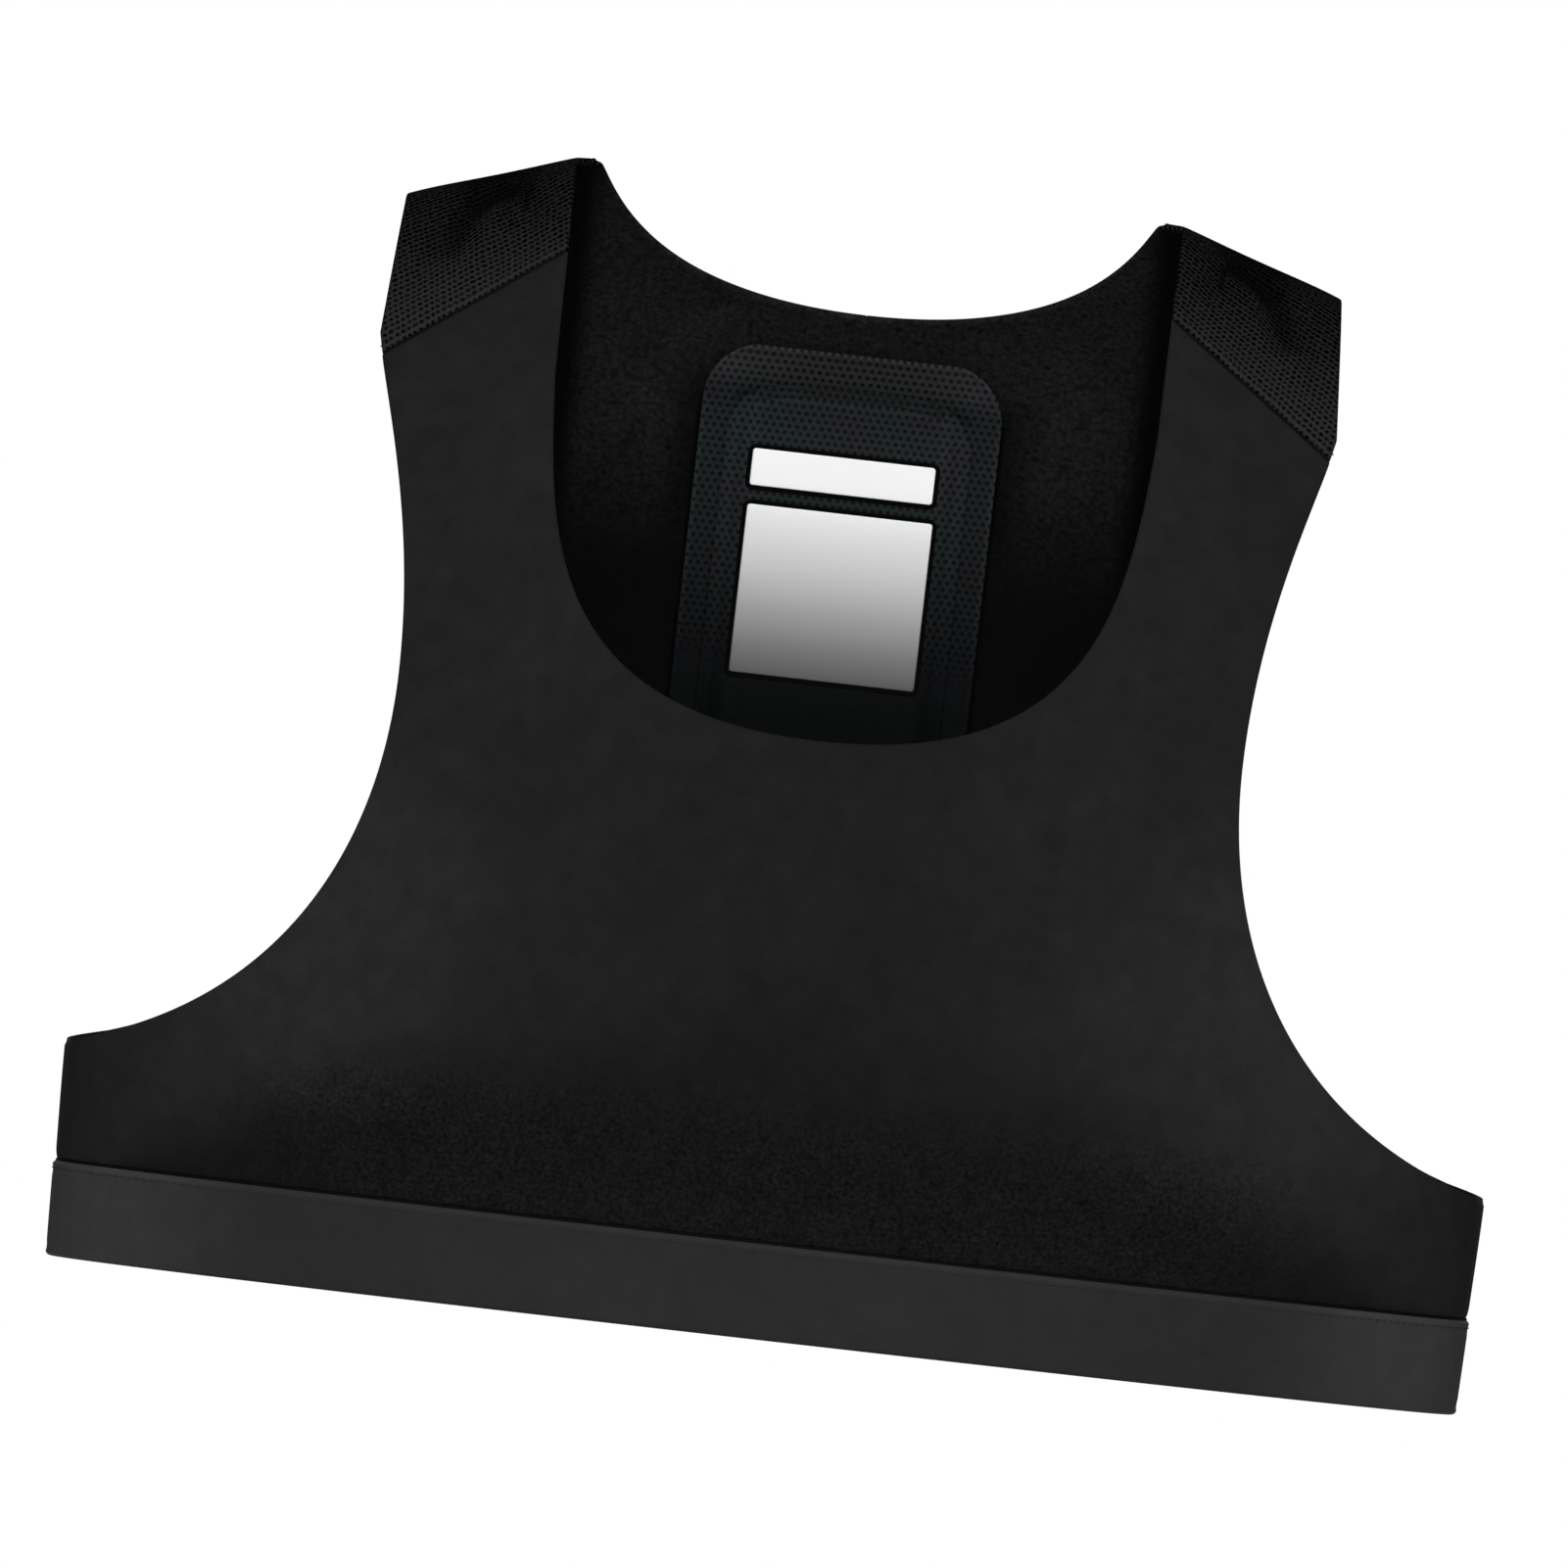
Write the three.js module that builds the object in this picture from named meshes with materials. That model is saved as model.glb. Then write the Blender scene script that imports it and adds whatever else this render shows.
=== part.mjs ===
// A black stretch sports vest that holds a tracker between the shoulder blades, in the hollow shape it
// takes on a wearer. Millimetres, +Z up, the front faces -Y. Heights are counted from the hem, and at
// the end the vest is lowered, so that the origin lies between the undersides of the shoulder straps.
//
// Every piece lies on one smooth torso form, a rounded box: in plan it is a superellipse, and upwards
// it closes over the shoulders. A point of the form is kept as (X, Y, Z), its shares of the half
// width, the depth and the form's height, where ((|X|^m + |Y|^m)^(n/m) + |Z|^n) = 1.
import * as THREE from "three";
import { mergeVertices } from "three/addons/utils/BufferGeometryUtils.js";

// Overall sizes
const VEST_HEIGHT = 301.8; // hem to the top of a strap, at its neck edge
const CHEST_HALF_WIDTH = 187.4; // at the underarm
const CHEST_DEPTH = 115; // side seams to the front of the chest
const BACK_DEPTH = 98; // side seams to the back
const UNDERARM_HEIGHT = 56.9;
const PLAN_POWER = 2.4;
const SIDE_POWER = 3.5;

// The neck and arm openings, as the front view shows them
const FRONT_NECK_HEIGHT = 156.7;
const BACK_NECK_DROP = 31.8; // below the top of the straps
const NECK_HALF_WIDTH = 80.2; // on top of the strap
const NECK_SIDE_HALF_WIDTH = 79.1; // where the front neckline turns upright
const NECK_SIDE_HEIGHT = 244.1;
const ARMHOLE_HALF_WIDTH = 110.8; // where the front is narrowest
const ARMHOLE_WAIST_HEIGHT = 161.9;
const BACK_ARMHOLE_HALF_WIDTH = 99;
const BACK_ARMHOLE_WAIST_HEIGHT = 176;

// The shoulder yokes
const STRAP_OUTER_HALF_WIDTH = 123.8; // on top of the strap
const YOKE_SEAM_OUTER_HALF_WIDTH = 124.9;
const YOKE_SEAM_OUTER_DROP = 57.2; // below the top of the straps, at the armhole
const YOKE_SEAM_INNER_DROP = 24.6; // and at the neck
const YOKE_SEAM_INSET = 0.6; // how much nearer the middle the seam's neck end lies than the strap's
const YOKE_CORNER_HALF_WIDTH = 126.1; // the yoke's widest place, just above its front seam
const YOKE_CORNER_RISE = 5.6;
const YOKE_BACK_REACH = 9; // behind the top of the strap
const YOKE_BACK_INNER_INSET = 6.4; // the neck edge moves in by this much over the shoulder
const YOKE_BACK_OUTER_INSET = 1; // and the arm edge by this much

const STRAP_SAG_REACH = 45; // how far below the top the strap is still flattened

// Cloth, the elastic band and the seams between the pieces
const BAND_HEIGHT = 25;
const BAND_THICKNESS = 2.2;
const BAND_STANDS_PROUD = 0.5;
const CLOTH_THICKNESS = 1.6;
const YOKE_THICKNESS = 1.8;
const SEAM_GAP = 0.4;

// The pocket inside the back, with its two plain labels
const POCKET_SHIFT = -0.8;
const FACING_HALF_WIDTH = 39.7;
const FACING_TOP = 258.7;
const FACING_LENGTH = 122;
const FACING_CORNER = 15;
const FACING_THICKNESS = 1.2;
const POUCH_HALF_WIDTH = 32.7;
const POUCH_DROP = 8.9; // from the facing's top to the pouch's mouth
const POUCH_CORNER = 10;
const POUCH_BOTTOM_MARGIN = 7;
const POUCH_THICKNESS = 1.2;
const POUCH_DEPTH = 9.5;
const POUCH_RAMP = 8;
const POUCH_MOUTH_SHARE = 0.75; // of the depth, kept at the mouth
const POUCH_MOUTH_REACH = 24; // how far below the mouth the pouch begins to close
const POUCH_CROWN = 5; // how far the mouth's line falls from its middle to its ends
const POUCH_CROWN_REACH = 40; // and how far below the mouth the weave's rows still bend with it
const POUCH_CROWN_POWER = 2.6; // how much of that fall lies near the ends
const LABEL_THICKNESS = 0.6;
const LABEL_HALF_WIDTH = 24.2;
const LABEL_DROP = 18.1; // from the pouch's mouth to the upper label
const LABEL_STRIP_HEIGHT = 9.7;
const LABEL_GAP = 5;
const LABEL_PANEL_HEIGHT = 44.5;
const LAYER_GAP = 0.4;
const FACING_GAP = 0.8; // behind the facing, where the back's facets bend most

// The form's sections: half width, front depth, back depth and backward shift at a share of the
// vest's height, as shares of the chest's half width, the chest's depth and the back's depth.
const SECTIONS = [
  { at: 0.0, width: 0.992, front: 0.86, back: 0.93, shift: 0.0 },
  { at: 0.083, width: 0.995, front: 0.865, back: 0.935, shift: 0.0 },
  { at: 0.189, width: 1.0, front: 0.945, back: 0.955, shift: 0.0 },
  { at: 0.33, width: 1.0, front: 1.0, back: 0.985, shift: 0.01 },
  { at: 0.46, width: 1.0, front: 0.98, back: 1.0, shift: 0.025 },
  { at: 0.62, width: 1.0, front: 0.9, back: 0.99, shift: 0.05 },
  { at: 0.78, width: 1.0, front: 0.785, back: 0.92, shift: 0.075 },
  { at: 0.88, width: 1.0, front: 0.66, back: 0.79, shift: 0.085 },
  { at: 0.95, width: 1.0, front: 0.51, back: 0.6, shift: 0.09 },
  { at: 1.0, width: 1.0, front: 0.38, back: 0.46, shift: 0.09 },
];

// Soft creases across the yokes: each runs from one point to another, as shares of the strap's width
// from its neck edge and of the yoke's front reach from the top, with its depth and half width. A
// negative depth is a ridge.
const CREASES = [
  { fromAcross: 0.25, fromDown: 0.02, toAcross: 0.62, toDown: 0.13, depth: 2.0, spread: 3.6 },
  { fromAcross: 0.58, fromDown: 0.07, toAcross: 0.72, toDown: 0.36, depth: 1.4, spread: 4.2 },
  { fromAcross: 0.25, fromDown: 0.08, toAcross: 0.2, toDown: 0.3, depth: 0.6, spread: 3.4 },
  { fromAcross: 0.44, fromDown: 0.09, toAcross: 0.53, toDown: 0.38, depth: -0.7, spread: 2.6 },
  { fromAcross: 0.8, fromDown: 0.1, toAcross: 0.87, toDown: 0.52, depth: 0.5, spread: 3.0 },
];
const CREST_FADE = 6; // the creases die out over this length below the top of the strap

// Mesh density, in cells
const PANEL_COLUMNS = 12;
const PANEL_SIDE_ROWS = 3;
const FRONT_ROWS = 27;
const FRONT_CENTRE_ROWS = 12;
const BACK_ROWS = 30;
const BACK_CENTRE_ROWS = 20;
const YOKE_ROWS = 14;
const YOKE_FRONT_ROWS = 11;
const BAND_ROWS = 2;
const FACING_COLUMNS = 8;
const FACING_ROWS = 12;
const POUCH_COLUMNS = 14;
const POUCH_ROWS = 14;
const LABEL_COLUMNS = 5;
const FINE_STEPS = 240;
const SETTLING_STEPS = 8;

const FRONT = -1;
const BACK = 1;

const backNeckHeight = VEST_HEIGHT - BACK_NECK_DROP;
const seamOuterHeight = VEST_HEIGHT - YOKE_SEAM_OUTER_DROP;
const seamInnerHeight = VEST_HEIGHT - YOKE_SEAM_INNER_DROP;
const formHeight =
  (VEST_HEIGHT - UNDERARM_HEIGHT) /
  (1 - (NECK_HALF_WIDTH / CHEST_HALF_WIDTH) ** SIDE_POWER) ** (1 / SIDE_POWER);

// A smooth step from 0 to 1.
const eased = (t) => {
  const share = THREE.MathUtils.clamp(t, 0, 1);
  return share * share * (3 - 2 * share);
};

// A smooth curve through one column of the section table, at a height above the hem.
function sectionValue(column, height) {
  const at = Math.min(Math.max(height / VEST_HEIGHT, SECTIONS[0].at), SECTIONS.at(-1).at);
  let k = 0;
  while (k < SECTIONS.length - 2 && at > SECTIONS[k + 1].at) k += 1;
  const slope = (i) => {
    const low = SECTIONS[Math.max(i - 1, 0)];
    const high = SECTIONS[Math.min(i + 1, SECTIONS.length - 1)];
    return (high[column] - low[column]) / (high.at - low.at);
  };
  const step = SECTIONS[k + 1].at - SECTIONS[k].at;
  const t = (at - SECTIONS[k].at) / step;
  return (
    (2 * t ** 3 - 3 * t ** 2 + 1) * SECTIONS[k][column] +
    (t ** 3 - 2 * t ** 2 + t) * step * slope(k) +
    (3 * t ** 2 - 2 * t ** 3) * SECTIONS[k + 1][column] +
    (t ** 3 - t ** 2) * step * slope(k + 1)
  );
}

const halfWidthAt = (height) => CHEST_HALF_WIDTH * sectionValue("width", height);
const frontDepthAt = (height) => CHEST_DEPTH * sectionValue("front", height);
const backDepthAt = (height) => BACK_DEPTH * sectionValue("back", height);
const shiftAt = (height) => BACK_DEPTH * sectionValue("shift", height);

// The form's norm: 1 on the surface, less inside.
function norm(p) {
  const plan = Math.abs(p.x) ** PLAN_POWER + Math.abs(p.y) ** PLAN_POWER;
  return (plan ** (SIDE_POWER / PLAN_POWER) + Math.abs(p.z) ** SIDE_POWER) ** (1 / SIDE_POWER);
}

const ontoForm = (p) => p.clone().divideScalar(norm(p));

// Height of the form's top at x.
function formTop(x) {
  const share = 1 - (x / CHEST_HALF_WIDTH) ** SIDE_POWER;
  return UNDERARM_HEIGHT + formHeight * share ** (1 / SIDE_POWER);
}

// How far the cloth sags below the form near the top of a strap, between its neck and arm edges: the
// strap's top is straight there, not round.
function sagAt(x, height) {
  const share = (Math.abs(x) - NECK_HALF_WIDTH) / (STRAP_OUTER_HALF_WIDTH - NECK_HALF_WIDTH);
  if (share <= 0 || share >= 1) return 0;
  const middle = (NECK_HALF_WIDTH + STRAP_OUTER_HALF_WIDTH) / 2;
  const ends = (formTop(NECK_HALF_WIDTH) + formTop(STRAP_OUTER_HALF_WIDTH)) / 2;
  const fade = eased((height - formTop(Math.abs(x))) / STRAP_SAG_REACH + 1);
  return (formTop(middle) - ends) * Math.sin(Math.PI * share) * fade;
}

// Height of the top of a strap at x.
const strapTop = (x) => formTop(Math.abs(x)) - sagAt(x, formTop(Math.abs(x)));

// The point of the form that the front view shows at (x, height), on its front or its back.
function onFace(x, height, face) {
  const raised = height + sagAt(x, height + sagAt(x, height));
  const p = new THREE.Vector3(x / halfWidthAt(raised), 0, (raised - UNDERARM_HEIGHT) / formHeight);
  const plan = Math.max(1 - Math.abs(p.z) ** SIDE_POWER, 0) ** (PLAN_POWER / SIDE_POWER);
  p.y = face * Math.max(plan - Math.abs(p.x) ** PLAN_POWER, 0) ** (1 / PLAN_POWER);
  return ontoForm(p);
}

// The point of the form straight above (x, y), where y is counted from the top of the strap.
function onTop(x, y) {
  const height = formTop(x);
  const depth = y < 0 ? frontDepthAt(height) : backDepthAt(height);
  const p = new THREE.Vector3(x / halfWidthAt(height), y / depth, 0);
  p.z = (1 - norm(p) ** SIDE_POWER) ** (1 / SIDE_POWER);
  return p;
}

// A form point's place in millimetres.
function placeOf(p) {
  const height = UNDERARM_HEIGHT + formHeight * p.z;
  const depth = p.y < 0 ? frontDepthAt(height) : backDepthAt(height);
  const x = p.x * halfWidthAt(height);
  return new THREE.Vector3(x, shiftAt(height) + depth * p.y, height - sagAt(x, height));
}

// How far outside the form a place is, as a share: 0 on it.
function outside(place) {
  const height = place.z + sagAt(place.x, place.z);
  const y = place.y - shiftAt(height);
  const depth = y < 0 ? frontDepthAt(height) : backDepthAt(height);
  const up = (height - UNDERARM_HEIGHT) / formHeight;
  return norm(new THREE.Vector3(place.x / halfWidthAt(height), y / depth, up)) - 1;
}

// The outward direction at a place on the form: the steepest rise of outside().
function outwardAt(place) {
  const step = 0.05;
  const rise = (axis) =>
    outside(place.clone().addScaledVector(axis, step)) -
    outside(place.clone().addScaledVector(axis, -step));
  return new THREE.Vector3(
    rise(new THREE.Vector3(1, 0, 0)),
    rise(new THREE.Vector3(0, 1, 0)),
    rise(new THREE.Vector3(0, 0, 1)),
  ).normalize();
}

// A cubic curve in the front view, from one [x, height] to another. leave and arrive are its two
// handles, as shares of the span in x and in height.
function bend(from, to, leave, arrive) {
  const span = [to[0] - from[0], to[1] - from[1]];
  const near = [from[0] + leave[0] * span[0], from[1] + leave[1] * span[1]];
  const far = [to[0] - arrive[0] * span[0], to[1] - arrive[1] * span[1]];
  return (t) =>
    [0, 1].map(
      (k) =>
        (1 - t) ** 3 * from[k] +
        3 * (1 - t) ** 2 * t * near[k] +
        3 * (1 - t) * t ** 2 * far[k] +
        t ** 3 * to[k],
    );
}

const straight = (from, to) => (t) => [0, 1].map((k) => from[k] + (to[k] - from[k]) * t);

// Fine form points along curves of the front view, closer together at both ends of each curve.
function traceFace(face, ...curves) {
  return curves.flatMap((curve, k) =>
    Array.from({ length: FINE_STEPS + 1 }, (_, i) => {
      const t = (1 - Math.cos((Math.PI * i) / FINE_STEPS)) / 2;
      return onFace(...curve(t), face);
    }).slice(k ? 1 : 0),
  );
}

// Fine form points over the top of a strap, from (x, y) to (x, y) in plan.
function traceTop(from, to) {
  return Array.from({ length: FINE_STEPS + 1 }, (_, i) => onTop(...straight(from, to)(i / FINE_STEPS)));
}

// A fine trace taken again at a number of equal steps of its real length.
function spaced(trace, steps) {
  const places = trace.map(placeOf);
  const run = [0];
  for (let i = 1; i < places.length; i += 1) run.push(run[i - 1] + places[i].distanceTo(places[i - 1]));
  let k = 0;
  return Array.from({ length: steps + 1 }, (_, i) => {
    const want = (run.at(-1) * i) / steps;
    while (k < run.length - 2 && run[k + 1] < want) k += 1;
    const share = (want - run[k]) / (run[k + 1] - run[k] || 1);
    return ontoForm(trace[k].clone().lerp(trace[k + 1], share));
  });
}

// A grid of form points that fills the space between four edges, each already on the form.
function fill(left, right, bottom, top) {
  const rows = left.length - 1;
  const columns = bottom.length - 1;
  return left.map((_, j) =>
    bottom.map((_, i) => {
      const s = i / columns;
      const t = j / rows;
      const p = new THREE.Vector3()
        .addScaledVector(left[j], 1 - s)
        .addScaledVector(right[j], s)
        .addScaledVector(bottom[i], 1 - t)
        .addScaledVector(top[i], t)
        .addScaledVector(bottom[0], -(1 - s) * (1 - t))
        .addScaledVector(bottom[columns], -s * (1 - t))
        .addScaledVector(top[0], -(1 - s) * t)
        .addScaledVector(top[columns], -s * t);
      if (s === 0) return left[j];
      if (s === 1) return right[j];
      return t === 0 ? bottom[i] : t === 1 ? top[i] : ontoForm(p);
    }),
  );
}

const mirrored = (grid) =>
  grid.map((row) => row.map((p) => new THREE.Vector3(-p.x, p.y, p.z)).reverse());

// A closed solid between two offsets from the form. grids are grids of form points, whose shared
// edges are joined, and rise adds to both offsets at a place.
function cloth(grids, outer, inner, rise = () => 0) {
  const positions = [];
  const indices = [];
  const cells = (grid, reverse, offset) => {
    const base = positions.length / 3;
    for (const p of grid.flat()) {
      const place = placeOf(p);
      const at = place.clone().addScaledVector(outwardAt(place), offset + rise(place));
      positions.push(at.x, at.y, at.z);
    }
    const wide = grid[0].length;
    for (let j = 0; j < grid.length - 1; j += 1)
      for (let i = 0; i < wide - 1; i += 1) {
        const corner = base + j * wide + i;
        const quad = [corner, corner + 1, corner + wide + 1, corner + wide];
        if (reverse) quad.reverse();
        indices.push(quad[0], quad[1], quad[2], quad[0], quad[2], quad[3]);
      }
  };
  for (const grid of grids) cells(grid, false, outer);
  const half = positions.length / 3;
  const faces = indices.length;
  for (const grid of grids) cells(grid, true, inner);
  // The rim joins each open edge of the outer skin to the inner skin.
  const key = (k) => [0, 1, 2].map((c) => Math.round(positions[3 * k + c] * 1e3)).join();
  const edges = new Map();
  for (let f = 0; f < faces; f += 3)
    for (let c = 0; c < 3; c += 1) {
      const [a, b] = [indices[f + c], indices[f + ((c + 1) % 3)]];
      if (!edges.delete(key(b) + "|" + key(a))) edges.set(key(a) + "|" + key(b), [a, b]);
    }
  for (const [a, b] of edges.values()) indices.push(b, a, a + half, b, a + half, b + half);
  const raw = new THREE.BufferGeometry();
  raw.setAttribute("position", new THREE.Float32BufferAttribute(positions, 3));
  raw.setIndex(indices);
  return mergeVertices(raw, 1e-3);
}

// A solid whose skin was wound inside out is turned round here, by the sign of its volume.
function facingOut(geometry) {
  const at = geometry.getAttribute("position");
  const index = geometry.getIndex();
  const [a, b, c] = [new THREE.Vector3(), new THREE.Vector3(), new THREE.Vector3()];
  let volume = 0;
  for (let f = 0; f < index.count; f += 3) {
    a.fromBufferAttribute(at, index.getX(f));
    b.fromBufferAttribute(at, index.getX(f + 1));
    c.fromBufferAttribute(at, index.getX(f + 2));
    volume += a.dot(b.cross(c));
  }
  if (volume < 0) index.array.reverse();
  geometry.computeVertexNormals();
  return geometry;
}

const underarm = [CHEST_HALF_WIDTH, UNDERARM_HEIGHT];
const panelFoot = BAND_HEIGHT + SEAM_GAP;

// The side seam and the band's seam, on one half of a face.
const sideSeam = (face) =>
  [panelFoot, UNDERARM_HEIGHT].map((height) => {
    const p = onFace(halfWidthAt(height), height, face);
    p.y = (face * SEAM_GAP) / 2 / (face === FRONT ? frontDepthAt(height) : backDepthAt(height));
    return ontoForm(p);
  });

const level = (height, face) => {
  const turn = (i) => (Math.PI / 2) * (i / FINE_STEPS);
  const z = (height - UNDERARM_HEIGHT) / formHeight;
  return Array.from({ length: FINE_STEPS + 1 }, (_, i) => {
    const p = new THREE.Vector3(Math.cos(turn(i)), face * Math.sin(turn(i)), 0);
    const plan = (1 - Math.abs(z) ** SIDE_POWER) ** (1 / SIDE_POWER) / norm(p);
    return new THREE.Vector3(p.x * plan, p.y * plan, z);
  });
};

// The yoke's front seam, shifted up or down by a small clearance.
const yokeFrontSeam = (lift) =>
  straight(
    [YOKE_SEAM_OUTER_HALF_WIDTH, seamOuterHeight + lift],
    [NECK_HALF_WIDTH - YOKE_SEAM_INSET, seamInnerHeight + lift],
  );

// The yoke's back seam runs level behind the top of the strap.
const yokeBackOuter = STRAP_OUTER_HALF_WIDTH - YOKE_BACK_OUTER_INSET;
const yokeBackInner = NECK_HALF_WIDTH - YOKE_BACK_INNER_INSET;
const yokeBackSeam = (extra) =>
  traceTop([yokeBackOuter, YOKE_BACK_REACH + extra], [yokeBackInner, YOKE_BACK_REACH + extra]);

const frontViewOf = (p) => {
  const place = placeOf(p);
  return [place.x, place.z];
};

function frontPanel() {
  const seam = yokeFrontSeam(-SEAM_GAP / 2);
  const waist = [ARMHOLE_HALF_WIDTH, ARMHOLE_WAIST_HEIGHT];
  const armhole = traceFace(
    FRONT,
    bend(underarm, waist, [0.692, 0.13], [0, 0.461]),
    bend(waist, seam(0), [0, 0.453], [0.277, 0.189]),
  );
  const side = sideSeam(FRONT);
  armhole[0] = side[1];
  const neckSide = [NECK_SIDE_HALF_WIDTH, NECK_SIDE_HEIGHT];
  const neckBottom = [0, FRONT_NECK_HEIGHT];
  const neck = traceFace(
    FRONT,
    bend(neckBottom, neckSide, [0.935, 0], [0.04, 0.443]),
    straight(neckSide, seam(1)),
  );
  const centre = traceFace(FRONT, straight([0, panelFoot], neckBottom));
  const left = [
    ...spaced(side, PANEL_SIDE_ROWS).slice(0, -1),
    ...spaced(armhole, FRONT_ROWS - PANEL_SIDE_ROWS),
  ];
  const right = [
    ...spaced(centre, FRONT_CENTRE_ROWS).slice(0, -1),
    ...spaced(neck, FRONT_ROWS - FRONT_CENTRE_ROWS),
  ];
  const foot = level(panelFoot, FRONT);
  foot[0] = side[0];
  const grid = fill(
    left,
    right,
    spaced(foot, PANEL_COLUMNS),
    spaced(traceFace(FRONT, seam), PANEL_COLUMNS),
  );
  return cloth([grid, mirrored(grid)], 0, -CLOTH_THICKNESS);
}

function backPanel() {
  const seam = spaced(yokeBackSeam(SEAM_GAP / 2), PANEL_COLUMNS);
  const waist = [BACK_ARMHOLE_HALF_WIDTH, BACK_ARMHOLE_WAIST_HEIGHT];
  const armhole = traceFace(
    BACK,
    bend(underarm, waist, [0.7, 0.07], [0, 0.5]),
    bend(waist, frontViewOf(seam[0]), [0, 0.5], [0.3, 0.25]),
  );
  const side = sideSeam(BACK);
  armhole[0] = side[1];
  armhole[armhole.length - 1] = seam[0];
  const neckBottom = [0, backNeckHeight];
  const neck = traceFace(BACK, bend(neckBottom, frontViewOf(seam.at(-1)), [0.851, 0], [0.044, 0.072]));
  neck[neck.length - 1] = seam.at(-1);
  const centre = traceFace(BACK, straight([0, panelFoot], neckBottom));
  const left = [
    ...spaced(side, PANEL_SIDE_ROWS).slice(0, -1),
    ...spaced(armhole, BACK_ROWS - PANEL_SIDE_ROWS),
  ];
  const right = [
    ...spaced(centre, BACK_CENTRE_ROWS).slice(0, -1),
    ...spaced(neck, BACK_ROWS - BACK_CENTRE_ROWS),
  ];
  const foot = level(panelFoot, BACK);
  foot[0] = side[0];
  const grid = fill(left, right, spaced(foot, PANEL_COLUMNS), seam);
  return cloth([grid, mirrored(grid)], 0, -CLOTH_THICKNESS);
}

// The creases' height at a place on a yoke, negative where the cloth sinks. None is behind the top.
function creaseAt(place) {
  const strap = STRAP_OUTER_HALF_WIDTH - NECK_HALF_WIDTH;
  const reach = YOKE_SEAM_OUTER_DROP;
  const across = Math.abs(place.x) - NECK_HALF_WIDTH;
  const front = place.y < shiftAt(place.z) ? 1 : -1;
  const down = front * (strapTop(place.x) - place.z);
  const height = CREASES.reduce((sum, crease) => {
    const from = new THREE.Vector2(crease.fromAcross * strap, crease.fromDown * reach);
    const to = new THREE.Vector2(crease.toAcross * strap, crease.toDown * reach);
    const line = to.clone().sub(from);
    const at = new THREE.Vector2(across, down).sub(from);
    const along = THREE.MathUtils.clamp(at.dot(line) / line.lengthSq(), 0, 1);
    const off = at.addScaledVector(line, -along).length() / crease.spread;
    return sum - crease.depth * Math.exp(-off * off) * Math.sin(Math.PI * along) ** 0.5;
  }, 0);
  return height * eased(down / CREST_FADE);
}

function yoke(side) {
  const seam = yokeFrontSeam(SEAM_GAP / 2);
  const corner = [YOKE_CORNER_HALF_WIDTH, seamOuterHeight + YOKE_CORNER_RISE];
  const outerTop = [STRAP_OUTER_HALF_WIDTH, strapTop(STRAP_OUTER_HALF_WIDTH)];
  const innerTop = [NECK_HALF_WIDTH, strapTop(NECK_HALF_WIDTH)];
  const back = spaced(yokeBackSeam(-SEAM_GAP / 2), PANEL_COLUMNS);
  const backEnd = YOKE_BACK_REACH - SEAM_GAP / 2;
  const outer = [
    ...spaced(traceFace(FRONT, straight(seam(0), corner)), 1).slice(0, -1),
    ...spaced(traceFace(FRONT, straight(corner, outerTop)), YOKE_FRONT_ROWS - 1).slice(0, -1),
    ...spaced(
      traceTop([STRAP_OUTER_HALF_WIDTH, 0], [yokeBackOuter, backEnd]),
      YOKE_ROWS - YOKE_FRONT_ROWS,
    ),
  ];
  const inner = [
    ...spaced(traceFace(FRONT, straight(seam(1), innerTop)), YOKE_FRONT_ROWS).slice(0, -1),
    ...spaced(traceTop([NECK_HALF_WIDTH, 0], [yokeBackInner, backEnd]), YOKE_ROWS - YOKE_FRONT_ROWS),
  ];
  const grid = fill(outer, inner, spaced(traceFace(FRONT, seam), PANEL_COLUMNS), back);
  return cloth([side > 0 ? grid : mirrored(grid)], 0, -YOKE_THICKNESS, creaseAt);
}

function underband() {
  const grid = Array.from({ length: BAND_ROWS + 1 }, (_, j) => {
    const height = (BAND_HEIGHT * j) / BAND_ROWS;
    const quarter = [FRONT, BACK].map((face) => spaced(level(height, face), PANEL_COLUMNS));
    const rightHalf = [...quarter[0].slice().reverse(), ...quarter[1].slice(1)];
    const leftHalf = mirrored([rightHalf])[0];
    return [...rightHalf, ...leftHalf.slice(1)];
  });
  return cloth([grid], BAND_STANDS_PROUD, BAND_STANDS_PROUD - BAND_THICKNESS);
}

// The form point behind (x, height) of the front view, for a skin that lies inside the back. offset
// gives the skin's offset from the form at a place. The point is moved until its skin is seen there.
function behind(x, height, offset) {
  const want = new THREE.Vector2(x, height);
  const at = want.clone();
  let p = onFace(x, height, BACK);
  for (let step = 0; step < SETTLING_STEPS; step += 1) {
    const place = placeOf(p);
    place.addScaledVector(outwardAt(place), offset(place));
    at.add(want).sub(new THREE.Vector2(place.x, place.z));
    p = onFace(at.x, at.y, BACK);
  }
  return p;
}

// A layer of cloth inside the back: its outline as the front view shows it, from bottom to top with
// a half width that may change with height, and the offsets of its two skins. The top edge falls by
// crown towards its ends.
function layer({ bottom, top, halfWidth, columns, rows, skin, thickness, rise = () => 0, crown = 0 }) {
  const grid = Array.from({ length: rows + 1 }, (_, j) => {
    const share = (1 - Math.cos((Math.PI * j) / rows)) / 2;
    const height = bottom + (top - bottom) * share;
    const fall = crown * eased((height - top) / POUCH_CROWN_REACH + 1);
    return Array.from({ length: columns + 1 }, (_, i) => {
      const x = ((2 * i) / columns - 1) * halfWidth(height);
      const drop = fall * Math.abs(x / halfWidth((bottom + top) / 2)) ** POUCH_CROWN_POWER;
      return behind(POCKET_SHIFT + x, height - drop, (place) => skin - thickness + rise(place));
    });
  });
  return cloth([grid], skin, skin - thickness, rise);
}

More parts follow.
